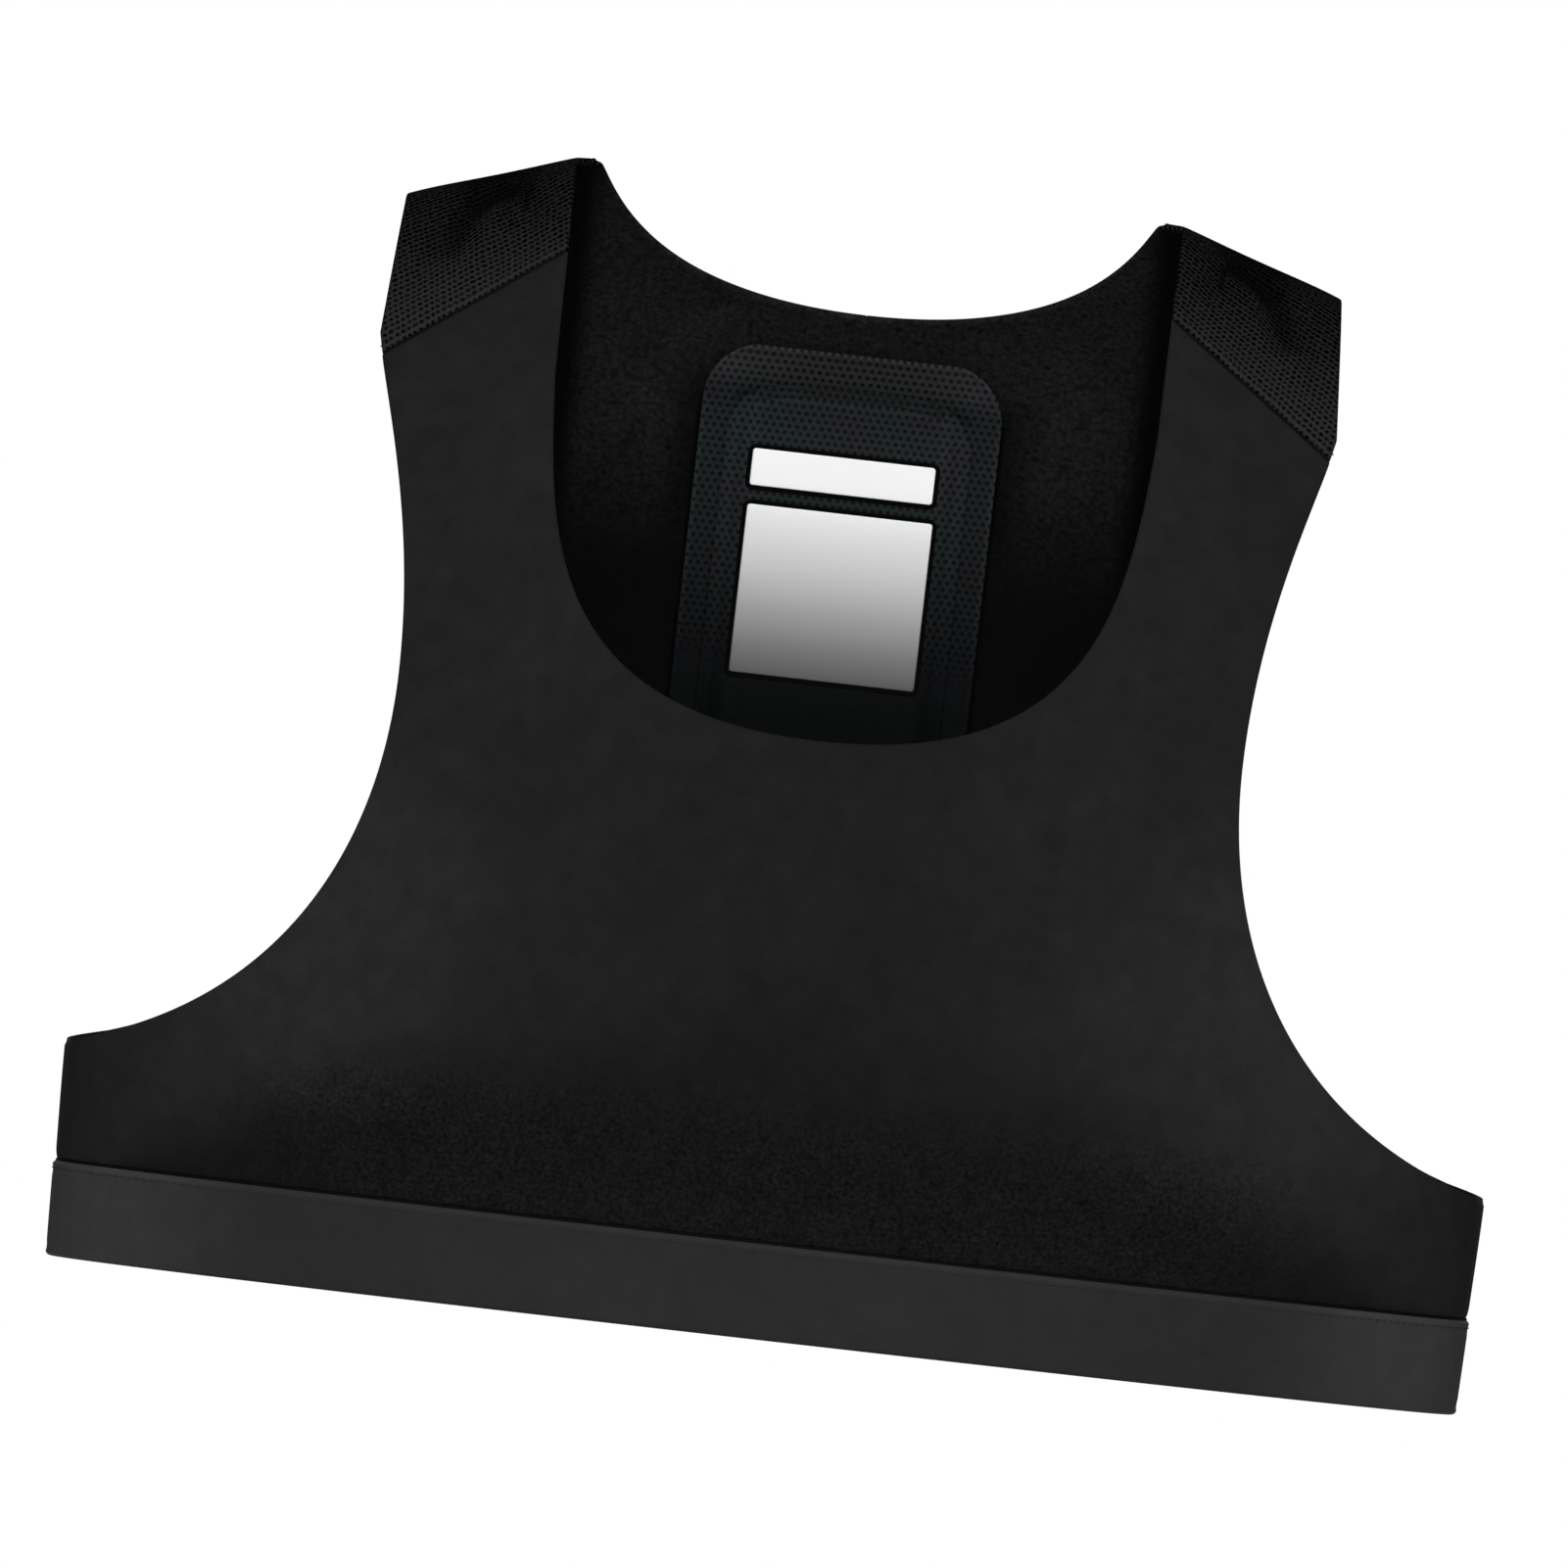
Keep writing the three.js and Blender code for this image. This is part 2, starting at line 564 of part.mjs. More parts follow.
// Half width of an outline with four round corners, at a height between its bottom and its top.
function roundedHalfWidth(half, bottom, top, corner) {
  return (height) => {
    const reach = Math.max(corner - Math.min(height - bottom, top - height), 0);
    return half - corner + Math.sqrt(Math.max(corner ** 2 - reach ** 2, 0));
  };
}

const facingBottom = FACING_TOP - FACING_LENGTH;
const pouchBottom = facingBottom + POUCH_BOTTOM_MARGIN;
const pouchTop = FACING_TOP - POUCH_DROP;
const facingSkin = -CLOTH_THICKNESS - FACING_GAP;
const pouchSkin = facingSkin - FACING_THICKNESS - LAYER_GAP;
const labelSkin = pouchSkin - POUCH_THICKNESS - LAYER_GAP;

function pocketFacing() {
  return layer({
    bottom: facingBottom,
    top: FACING_TOP,
    halfWidth: roundedHalfWidth(FACING_HALF_WIDTH, facingBottom, FACING_TOP, FACING_CORNER),
    columns: FACING_COLUMNS,
    rows: FACING_ROWS,
    skin: facingSkin,
    thickness: FACING_THICKNESS,
  });
}

// How far the pouch stands off the back: it ramps up from its sides and bottom, and stays open on top.
function pouchRise(place) {
  const side = eased((POUCH_HALF_WIDTH - Math.abs(place.x - POCKET_SHIFT)) / POUCH_RAMP);
  const bottom = eased((place.z - pouchBottom) / POUCH_RAMP);
  const mouth = eased((place.z - pouchTop) / POUCH_MOUTH_REACH + 1);
  return -POUCH_DEPTH * side * bottom * (1 - (1 - POUCH_MOUTH_SHARE) * mouth);
}

function pocketPouch() {
  return layer({
    bottom: pouchBottom,
    top: pouchTop,
    halfWidth: roundedHalfWidth(POUCH_HALF_WIDTH, pouchBottom, pouchTop, POUCH_CORNER),
    columns: POUCH_COLUMNS,
    rows: POUCH_ROWS,
    skin: pouchSkin,
    thickness: POUCH_THICKNESS,
    rise: pouchRise,
    crown: POUCH_CROWN,
  });
}

function label(top, height) {
  return layer({
    bottom: top - height,
    top,
    halfWidth: () => LABEL_HALF_WIDTH,
    columns: LABEL_COLUMNS,
    rows: Math.max(2, Math.round((LABEL_COLUMNS * height) / (2 * LABEL_HALF_WIDTH))),
    skin: labelSkin,
    thickness: LABEL_THICKNESS,
    rise: pouchRise,
  });
}

const knit = new THREE.MeshStandardMaterial({ color: 0x1f1f1f, roughness: 0.85, metalness: 0 });
const mesh = new THREE.MeshStandardMaterial({ color: 0x1a1a1b, roughness: 0.9, metalness: 0 });
const elastic = new THREE.MeshStandardMaterial({ color: 0x2d2d2d, roughness: 0.8, metalness: 0 });
const pocketMesh = new THREE.MeshStandardMaterial({ color: 0x182022, roughness: 0.9, metalness: 0 });
const whitePrint = new THREE.MeshStandardMaterial({ color: 0xf0f0f0, roughness: 0.6, metalness: 0 });
const greyPrint = new THREE.MeshStandardMaterial({ color: 0xb0b0b0, roughness: 0.6, metalness: 0 });

function piece(name, geometry, material) {
  const made = new THREE.Mesh(facingOut(geometry), material);
  made.name = name;
  return made;
}

const strapMiddle = (NECK_HALF_WIDTH + STRAP_OUTER_HALF_WIDTH) / 2;
const shoulderRest = new THREE.Vector3(
  0,
  shiftAt(strapTop(strapMiddle)),
  strapTop(strapMiddle) - YOKE_THICKNESS,
);
const stripTop = pouchTop - LABEL_DROP;
const panelTop = stripTop - LABEL_STRIP_HEIGHT - LABEL_GAP;

const vest = new THREE.Group();
vest.position.copy(shoulderRest).negate();
vest.add(
  piece("front_panel", frontPanel(), knit),
  piece("back_panel", backPanel(), knit),
  piece("left_yoke", yoke(1), mesh),
  piece("right_yoke", yoke(-1), mesh),
  piece("underband", underband(), elastic),
  piece("pocket_facing", pocketFacing(), pocketMesh),
  piece("pocket_pouch", pocketPouch(), pocketMesh),
  piece("label_strip", label(stripTop, LABEL_STRIP_HEIGHT), whitePrint),
  piece("label_panel", label(panelTop, LABEL_PANEL_HEIGHT), greyPrint),
);

const model = new THREE.Group();
model.add(vest);

export default model;
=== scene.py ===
import math

import bpy
import numpy as np
from mathutils import Matrix, Vector


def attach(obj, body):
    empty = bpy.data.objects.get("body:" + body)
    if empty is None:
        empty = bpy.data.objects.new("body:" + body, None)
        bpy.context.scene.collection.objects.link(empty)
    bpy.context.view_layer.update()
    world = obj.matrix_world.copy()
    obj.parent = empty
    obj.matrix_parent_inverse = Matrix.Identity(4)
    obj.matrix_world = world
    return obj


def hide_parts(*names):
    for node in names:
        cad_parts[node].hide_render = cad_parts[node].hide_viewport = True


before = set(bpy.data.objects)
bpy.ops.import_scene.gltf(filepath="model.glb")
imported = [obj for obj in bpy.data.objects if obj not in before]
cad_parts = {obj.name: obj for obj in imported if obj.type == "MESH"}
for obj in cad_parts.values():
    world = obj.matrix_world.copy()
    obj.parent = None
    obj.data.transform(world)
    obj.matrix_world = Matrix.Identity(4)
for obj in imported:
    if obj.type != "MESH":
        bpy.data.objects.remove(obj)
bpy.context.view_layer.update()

MM = 0.001

# Overall sizes
VEST_HEIGHT = 301.8
CHEST_HALF_WIDTH = 187.4
CHEST_DEPTH = 115
BACK_DEPTH = 98
UNDERARM_HEIGHT = 56.9
PLAN_POWER = 2.4
SIDE_POWER = 3.5

# The neck and arm openings, as the front view shows them
FRONT_NECK_HEIGHT = 156.7
BACK_NECK_HEIGHT = VEST_HEIGHT - 31.8
NECK_HALF_WIDTH = 80.2
NECK_SIDE = (79.1, 244.1)
ARMHOLE_WAIST = (110.8, 161.9)
BACK_ARMHOLE_WAIST = (99, 176)

# The shoulder yokes
STRAP_OUTER_HALF_WIDTH = 123.8
STRAP_WIDTH = STRAP_OUTER_HALF_WIDTH - NECK_HALF_WIDTH
YOKE_FRONT_REACH = 57.2
YOKE_SEAM_OUTER = (124.9, VEST_HEIGHT - YOKE_FRONT_REACH)
YOKE_SEAM_INNER = (NECK_HALF_WIDTH - 0.6, VEST_HEIGHT - 24.6)
YOKE_SLANT = (YOKE_SEAM_INNER[1] - YOKE_SEAM_OUTER[1]) / (YOKE_SEAM_OUTER[0] - YOKE_SEAM_INNER[0])
YOKE_CORNER = (126.1, YOKE_SEAM_OUTER[1] + 5.6)
YOKE_BACK_REACH = 9
YOKE_BACK_INNER = NECK_HALF_WIDTH - 6.4
YOKE_BACK_OUTER = STRAP_OUTER_HALF_WIDTH - 1
STRAP_SAG_REACH = 45

# Cloth, the elastic band and the seams
BAND_HEIGHT = 25
BAND_THICKNESS = 2.2
BAND_STANDS_PROUD = 0.5
CLOTH_THICKNESS = 1.6
YOKE_THICKNESS = 1.8
SEAM_GAP = 0.4
PANEL_FOOT = BAND_HEIGHT + SEAM_GAP

# Low relief, the inner tapes and the stitches. Grooves have a depth and a half width, and reliefs
# beside an edge have heights, distances from it and half widths.
HEM_WIDTH, HEM_RISE = 7.3, 0.4
HEM_FULL_TO, HEM_FADE, HEM_SIDE_SHARE = 30, 30, 0.15
PANEL_GROOVES = {"foot": (0.35, 1.6), "seam": (0.3, 1.4), "side": (0.3, 1.2)}
YOKE_SEAM_RELIEF = ((-0.45, 0, 1.1), (0.12, 2.4, 1.2))
BAND_EDGE_RELIEF = ((-0.15, 2.5, 0.8), (0.12, 1.1, 0.6))
TAPE_HALF_WIDTH = 3.5
TAPE_OUTER, TAPE_INNER = -1.95, -2.55
TAPE_ROWS = np.array([-1, -0.94, -0.8, 0, 0.8, 0.94, 1]) * TAPE_HALF_WIDTH
STITCH_PITCH, STITCH_LENGTH, STITCH_RADIUS = 2.6, 1.9, 0.2
STITCH_RINGS = np.array([-0.98, -0.7, 0, 0.7, 0.98])
STITCH_SINK = 1.4 * STITCH_RADIUS
TUBE_SIDES = 6

# The pocket inside the back, with its two plain labels
POCKET_SHIFT = -0.8
FACING_HALF_WIDTH = 39.7
FACING_TOP = 258.7
FACING_LENGTH = 122
FACING_BOTTOM = FACING_TOP - FACING_LENGTH
FACING_CORNER = 15
FACING_OUTLINE = (FACING_HALF_WIDTH, FACING_BOTTOM, FACING_TOP, FACING_CORNER)
FACING_THICKNESS = 1.2
POUCH_HALF_WIDTH = 32.7
POUCH_TOP = FACING_TOP - 8.9
POUCH_BOTTOM = FACING_BOTTOM + 7
POUCH_CORNER = 10
POUCH_THICKNESS = 1.2
POUCH_DEPTH = 9.5
POUCH_RAMP = 8
POUCH_MOUTH_SHARE = 0.75
POUCH_MOUTH_REACH = 24
POUCH_CROWN = 5
POUCH_CROWN_REACH = 40
POUCH_CROWN_POWER = 2.6
LABEL_HALF_WIDTH = 24.2
LABEL_THICKNESS = 0.6
LABEL_CORNER = 0.8
# The labels' dark sheet, wider by the margin below, is a painted shadow round each label.
LABEL_SHADOW_MARGIN = 1.2
LABEL_STRIP = (POUCH_TOP - 27.8, POUCH_TOP - 18.1)
LABEL_PANEL = (LABEL_STRIP[0] - 49.5, LABEL_STRIP[0] - 5)
FACING_SKIN = -CLOTH_THICKNESS - 0.8
POUCH_SKIN = FACING_SKIN - FACING_THICKNESS - 0.4
LABEL_SKIN = POUCH_SKIN - POUCH_THICKNESS - 0.4
LABEL_SHADOW_SKIN = POUCH_SKIN - POUCH_THICKNESS - 0.05
LABEL_SHADOW_THICKNESS = 0.3

# The form's sections: share of the vest's height, then half width, front depth, back depth and
# backward shift as shares of the chest's half width, the chest's depth and the back's depth.
SECTIONS = np.array([
    (0.0, 0.992, 0.86, 0.93, 0.0),
    (0.083, 0.995, 0.865, 0.935, 0.0),
    (0.189, 1.0, 0.945, 0.955, 0.0),
    (0.33, 1.0, 1.0, 0.985, 0.01),
    (0.46, 1.0, 0.98, 1.0, 0.025),
    (0.62, 1.0, 0.9, 0.99, 0.05),
    (0.78, 1.0, 0.785, 0.92, 0.075),
    (0.88, 1.0, 0.66, 0.79, 0.085),
    (0.95, 1.0, 0.51, 0.6, 0.09),
    (1.0, 1.0, 0.38, 0.46, 0.09),
]).T
AT, WIDTH, FRONT_SHARE, BACK_SHARE, SHIFT = SECTIONS

# Soft creases over the yokes: both ends as shares of the strap's width from its neck edge and of the
# yoke's front reach below its top, then height in millimetres (negative where the cloth sinks) and
# half width.
CREASES = [
    (0.25, 0.02, 0.62, 0.13, -2.0, 3.6),
    (0.58, 0.07, 0.72, 0.36, -1.4, 4.2),
    (0.25, 0.08, 0.2, 0.3, -0.6, 3.4),
    (0.44, 0.09, 0.53, 0.38, 0.7, 2.6),
    (0.8, 0.1, 0.87, 0.52, -0.5, 3.0),
]
CREST_FADE = 6.0

FRONT, BACK = -1, 1

# Steps in a fine trace, cells up and across the panels, the yokes and a quarter of the band, and
# rounds of correction for what lies behind the front view
FINE = 240
FRONT_ROWS, FRONT_CENTRE_ROWS = 27, 12
BACK_ROWS, BACK_CENTRE_ROWS = 30, 20
PANEL_COLUMNS = 12
YOKE_ROWS, YOKE_COLUMNS = 14, 12
BAND_COLUMNS = 96
CORRECTIONS = 8

form_height = (VEST_HEIGHT - UNDERARM_HEIGHT) / (
    1 - (NECK_HALF_WIDTH / CHEST_HALF_WIDTH) ** SIDE_POWER
) ** (1 / SIDE_POWER)


def eased(t):
    """A smooth step from 0 to 1: 3 t^2 - 2 t^3, held at 0 and 1 outside."""
    t = np.clip(t, 0, 1)
    return t * t * (3 - 2 * t)


def ridge(offset, half_width):
    """A bell exp(-(offset / half_width)^2): 1 on the line, fading away from it."""
    return np.exp(-((offset / half_width) ** 2))


def section_value(column, height):
    """A cubic Hermite curve through a column of the table, its slopes the chords over the neighbours."""
    at = np.clip(np.asarray(height) / VEST_HEIGHT, AT[0], AT[-1])
    k = np.searchsorted(AT[1:-1], at)
    high = np.minimum(np.arange(len(AT)) + 1, len(AT) - 1)
    low = np.maximum(np.arange(len(AT)) - 1, 0)
    slope = (column[high] - column[low]) / (AT[high] - AT[low])
    step = AT[k + 1] - AT[k]
    t = (at - AT[k]) / step
    return (
        (2 * t**3 - 3 * t**2 + 1) * column[k]
        + (t**3 - 2 * t**2 + t) * step * slope[k]
        + (3 * t**2 - 2 * t**3) * column[k + 1]
        + (t**3 - t**2) * step * slope[k + 1]
    )


def half_width_at(height):
    """The chest's half width times its share at the height."""
    return CHEST_HALF_WIDTH * section_value(WIDTH, height)


def depth_at(height, y):
    """The front's depth where y is negative, and the back's elsewhere."""
    front = CHEST_DEPTH * section_value(FRONT_SHARE, height)
    return np.where(y < 0, front, BACK_DEPTH * section_value(BACK_SHARE, height))


def shift_at(height):
    """How far back the section's middle lies: the back's depth times the shift's share."""
    return BACK_DEPTH * section_value(SHIFT, height)


def norm(p):
    """((|X|^m + |Y|^m)^(n/m) + |Z|^n)^(1/n): 1 on the form, less inside."""
    plan = np.abs(p[..., 0]) ** PLAN_POWER + np.abs(p[..., 1]) ** PLAN_POWER
    return (plan ** (SIDE_POWER / PLAN_POWER) + np.abs(p[..., 2]) ** SIDE_POWER) ** (1 / SIDE_POWER)


def onto_form(p):
    """Points drawn straight to or from the middle until their norm is 1."""
    return p / norm(p)[..., None]


def form_top(x):
    """Height of the form's top at x: underarm + height (1 - (x / half width)^n)^(1/n)."""
    share = np.maximum(1 - (np.abs(x) / CHEST_HALF_WIDTH) ** SIDE_POWER, 0)
    return UNDERARM_HEIGHT + form_height * share ** (1 / SIDE_POWER)


def sag_at(x, height):
    """Half a sine across a strap, which makes its top straight, fading out below the top."""
    share = (np.abs(x) - NECK_HALF_WIDTH) / STRAP_WIDTH
    middle = (NECK_HALF_WIDTH + STRAP_OUTER_HALF_WIDTH) / 2
    ends = (form_top(NECK_HALF_WIDTH) + form_top(STRAP_OUTER_HALF_WIDTH)) / 2
    fade = eased((height - form_top(x)) / STRAP_SAG_REACH + 1)
    across = np.sin(np.pi * np.clip(share, 0, 1))
    return (form_top(middle) - ends) * across * fade


def strap_top(x):
    """Height of the shoulder at x: the form's top less the sag."""
    return form_top(x) - sag_at(x, form_top(x))


def stacked(*parts):
    """Numbers or arrays of one shape, stacked as the coordinates of points."""
    return np.stack(np.broadcast_arrays(*parts), -1).astype(float)


def on_face(x, height, face):
    """The form point that the front view shows at (x, height): Y solves the form's equation."""
    raised = height + sag_at(x, height + sag_at(x, height))
    X = x / half_width_at(raised)
    Z = (raised - UNDERARM_HEIGHT) / form_height
    plan = np.maximum(1 - np.abs(Z) ** SIDE_POWER, 0) ** (PLAN_POWER / SIDE_POWER)
    Y = face * np.maximum(plan - np.abs(X) ** PLAN_POWER, 0) ** (1 / PLAN_POWER)
    return onto_form(stacked(X, Y, Z))


def on_top(x, y):
    """The form point straight above (x, y), with y counted from the top of the strap: solved for Z."""
    height = form_top(x)
    p = stacked(x / half_width_at(height), y / depth_at(height, y), 0)
    p[..., 2] = (1 - norm(p) ** SIDE_POWER) ** (1 / SIDE_POWER)
    return p


def place_of(p):
    """A form point's place: its shares times the half width, the depth and the height there."""
    height = UNDERARM_HEIGHT + form_height * p[..., 2]
    x = p[..., 0] * half_width_at(height)
    y = shift_at(height) + depth_at(height, p[..., 1]) * p[..., 1]
    return stacked(x, y, height - sag_at(x, height))


def shares_of(place):
    """The opposite of place_of, for any place near the form."""
    height = place[..., 2] + sag_at(place[..., 0], place[..., 2])
    y = place[..., 1] - shift_at(height)
    return stacked(
        place[..., 0] / half_width_at(height),
        y / depth_at(height, y),
        (height - UNDERARM_HEIGHT) / form_height,
    )


def outward_at(place):
    """The outward direction: the steepest rise of the form's norm, by central differences."""
    step = 0.05
    rise = [
        norm(shares_of(place + step * axis)) - norm(shares_of(place - step * axis))
        for axis in np.eye(3)
    ]
    rise = np.stack(rise, -1)
    return rise / np.linalg.norm(rise, axis=-1, keepdims=True)


def bend(start, end, leave, arrive):
    """A cubic curve of the front view whose handles are shares of its span in x and in height."""
    start, end = np.array(start, float), np.array(end, float)
    near = start + np.array(leave) * (end - start)
    far = end - np.array(arrive) * (end - start)

    def curve(t):
        t = t[:, None]
        return (1 - t) ** 3 * start + 3 * (1 - t) ** 2 * t * near + 3 * (1 - t) * t**2 * far + t**3 * end

    return curve


def straight(start, end):
    """A straight line of the front view: start + t (end - start)."""
    start, end = np.array(start, float), np.array(end, float)
    return lambda t: start + (end - start) * t[:, None]


def trace_face(face, *curves):
    """Form points along curves of the front view, closer together at both ends of each."""
    t = (1 - np.cos(np.linspace(0, np.pi, FINE + 1))) / 2
    traces = [on_face(*curve(t).T, face) for curve in curves]
    return np.concatenate([traces[0], *(trace[1:] for trace in traces[1:])])


def trace_top(start, end):
    """Form points straight above a line of the plan."""
    return on_top(*straight(start, end)(np.linspace(0, 1, FINE + 1)).T)


def level_line(height, turn):
    """Form points of one height, at angles in plan from the wearer's left round by the back.

    The plan directions (cos, sin, 0) are scaled until their norm is (1 - |Z|^n)^(1/n).
    """
    Z = (height - UNDERARM_HEIGHT) / form_height
    p = stacked(np.cos(turn), np.sin(turn), 0)
    p *= ((1 - abs(Z) ** SIDE_POWER) ** (1 / SIDE_POWER) / norm(p))[:, None]
    p[:, 2] = Z
    return p


def trace_level(height, face):
    """A quarter of the plan outline at one height, from the side to the middle."""
    return level_line(height, face * np.linspace(0, np.pi / 2, FINE + 1))


def level_loop(height, count):
    """The whole plan outline at one height, from the middle of the back to it again."""
    return level_line(height, np.linspace(0.5, 2.5, count) * np.pi)


def run_of(places):
    """Length along a line of places, from its start."""
    return np.concatenate([[0], np.cumsum(np.linalg.norm(np.diff(places, axis=0), axis=1))])


def sampled(trace, shares):
    """Form points at shares of a trace's real length."""
    run = run_of(place_of(trace))
    found = [np.interp(np.asarray(shares) * run[-1], run, trace[:, k]) for k in range(3)]
    return onto_form(np.stack(found, -1))


def edge_of(rows, *parts):
    """An edge made of (trace, first row, last row) parts, at fractional row numbers."""
    found = []
    for k, (trace, first, last) in enumerate(parts):
        inside = (rows >= first) & ((rows < last) | (k == len(parts) - 1))
        found.append(sampled(trace, (rows[inside] - first) / (last - first)))
    return np.concatenate(found)


def stations(cells, finer, rings=(0.03, 0.08, 0.16, 0.3)):
    """Cell numbers in equal steps, with a few more next to both ends for the rounded edges."""
    rings = np.array(rings)
    even = np.linspace(0, cells, cells * finer + 1)
    return np.unique(np.round(np.concatenate([even, rings, cells - rings]), 6))


def filled(left, right, bottom, top, s, t):
    """A Coons patch: both pairs of edges blended, less the corners, then pushed onto the form."""
    s, t = s[None, :, None], t[:, None, None]
    p = left[:, None] * (1 - s) + right[:, None] * s + bottom[None] * (1 - t) + top[None] * t
    p = p - (bottom[0] * (1 - s) * (1 - t) + bottom[-1] * s * (1 - t))
    p = p - (top[0] * (1 - s) * t + top[-1] * s * t)
    return onto_form(p)


def distance(places, line):
    """Each place's distance to a line of short straight pieces."""
    flat = places.reshape(-1, 3)
    start, along = line[:-1], np.diff(line, axis=0)
    length = np.maximum((along**2).sum(1), 1e-9)
    found = np.empty(len(flat))
    for first in range(0, len(flat), 4096):
        part = flat[first : first + 4096, None] - start
        t = np.clip((part * along).sum(-1) / length, 0, 1)
        found[first : first + 4096] = np.sqrt((((part - t[..., None] * along)) ** 2).sum(-1)).min(1)
    return found.reshape(places.shape[:-1])


def length_of(line):
    """Real length of lines of form points: the sum of the steps between their places."""
    return np.linalg.norm(np.diff(place_of(line), axis=-2), axis=-1).sum(-1)


def weave_map(p, samples=24):
    """Lengths on the cloth in metres: round the body from the middle, and up from the hem.

    Both sum the steps between a few places: along the level line with the point's height, and along
    the upright line with the point's direction in plan.
    """
    turn = np.arctan2(np.abs(p[..., 0]), np.abs(p[..., 1]))
    face = np.where(p[..., 1] < 0, -1.0, 1.0)
    plan = np.hypot(np.abs(p[..., 0]) ** (PLAN_POWER / 2), np.abs(p[..., 1]) ** (PLAN_POWER / 2))
    plan = plan ** (2 / PLAN_POWER)
    share = np.linspace(0, 1, samples)
    angle = turn[..., None] * share
    unit = stacked(np.sin(angle), np.cos(angle) * face[..., None], 0)
    unit /= norm(unit)[..., None]
    round_line = unit * plan[..., None, None]
    round_line[..., 2] = p[..., None, 2]
    foot = -UNDERARM_HEIGHT / form_height
    Z = foot + (p[..., 2] - foot)[..., None] * share
    reach = np.maximum(1 - np.abs(Z) ** SIDE_POWER, 0) ** (1 / SIDE_POWER)
    direction = stacked(p[..., 0], p[..., 1], 0)
    direction /= np.maximum(norm(direction), 1e-9)[..., None]
    up_line = direction[..., None, :] * reach[..., None]
    up_line[..., 2] = Z
    return np.stack([np.sign(p[..., 0]) * length_of(round_line), length_of(up_line)], -1) * MM


def mirrored(patch):
    """The same patch on the other side of the body: x changes sign and the columns turn round."""
    flipped = {key: value[:, ::-1] for key, value in patch.items()}
    flipped["form"] = flipped["form"] * (-1, 1, 1)
    flipped["weave"] = flipped["weave"] * (-1, 1)
    return flipped


def rounded(outer, inner, edge):
    """Both skins drawn together near the cloth's edge, in a half circle as wide as the cloth.

    Their distance from the middle is its half times sqrt(1 - (1 - s)^2), where s is the distance to
    the edge over half the thickness, and never under 0.12 of it.
    """
    half, middle = (outer - inner) / 2, (outer + inner) / 2
    share = np.clip(edge / np.maximum(half, 1e-6), 0, 1)
    fullness = np.maximum(np.sqrt(1 - (1 - share) ** 2), 0.12)
    return middle + half * fullness, middle - half * fullness


def grid_faces(rows, columns, base=0):
    """The four-cornered faces between neighbours of a grid whose points count up along its rows."""
    corner = (np.arange(rows - 1)[:, None] * columns + np.arange(columns - 1)).ravel() + base
    return np.stack([corner, corner + 1, corner + columns + 1, corner + columns], -1)


def add_object(name, data):
    """A new object of that data, linked to the scene."""
    made = bpy.data.objects.new(name, data)
    bpy.context.scene.collection.objects.link(made)
    return made


def add_mesh(name, places, faces, materials, slot, weave=None, fold=None, inside=None):
    """A piece from places in millimetres and four-cornered faces, turned outwards by its volume.

    weave is its cloth map, fold a value at each corner point, and inside marks the faces that take
    the second material.
    """
    points = (places - shoulder_rest) * MM
    a, b, c, d = (points[faces[:, k]] for k in range(4))
    volume = (a * np.cross(b, c)).sum() + (a * np.cross(c, d)).sum()
    if volume < 0:
        faces = faces[:, ::-1]
    mesh = bpy.data.meshes.new(name)
    mesh.vertices.add(len(points))
    mesh.vertices.foreach_set("co", points.astype(np.float32).ravel())
    mesh.loops.add(faces.size)
    mesh.loops.foreach_set("vertex_index", faces.astype(np.int32).ravel())
    mesh.polygons.add(len(faces))
    mesh.polygons.foreach_set("loop_start", np.arange(0, faces.size, 4, dtype=np.int32))
    mesh.update(calc_edges=True)
    mesh.shade_smooth()
    if weave is not None:
        layer = mesh.uv_layers.new(name="weave")
        layer.data.foreach_set("uv", weave[faces.ravel()].astype(np.float32).ravel())
    if fold is not None:
        mesh.attributes.new("fold", "FLOAT", "POINT").data.foreach_set("value", fold.astype(np.float32))
    for material in materials:
        mesh.materials.append(material)
    if inside is not None:
        mesh.polygons.foreach_set("material_index", inside.astype(np.int32))
    mesh.validate()
    piece = add_object(name, mesh)
    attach(piece, "root")
    return piece


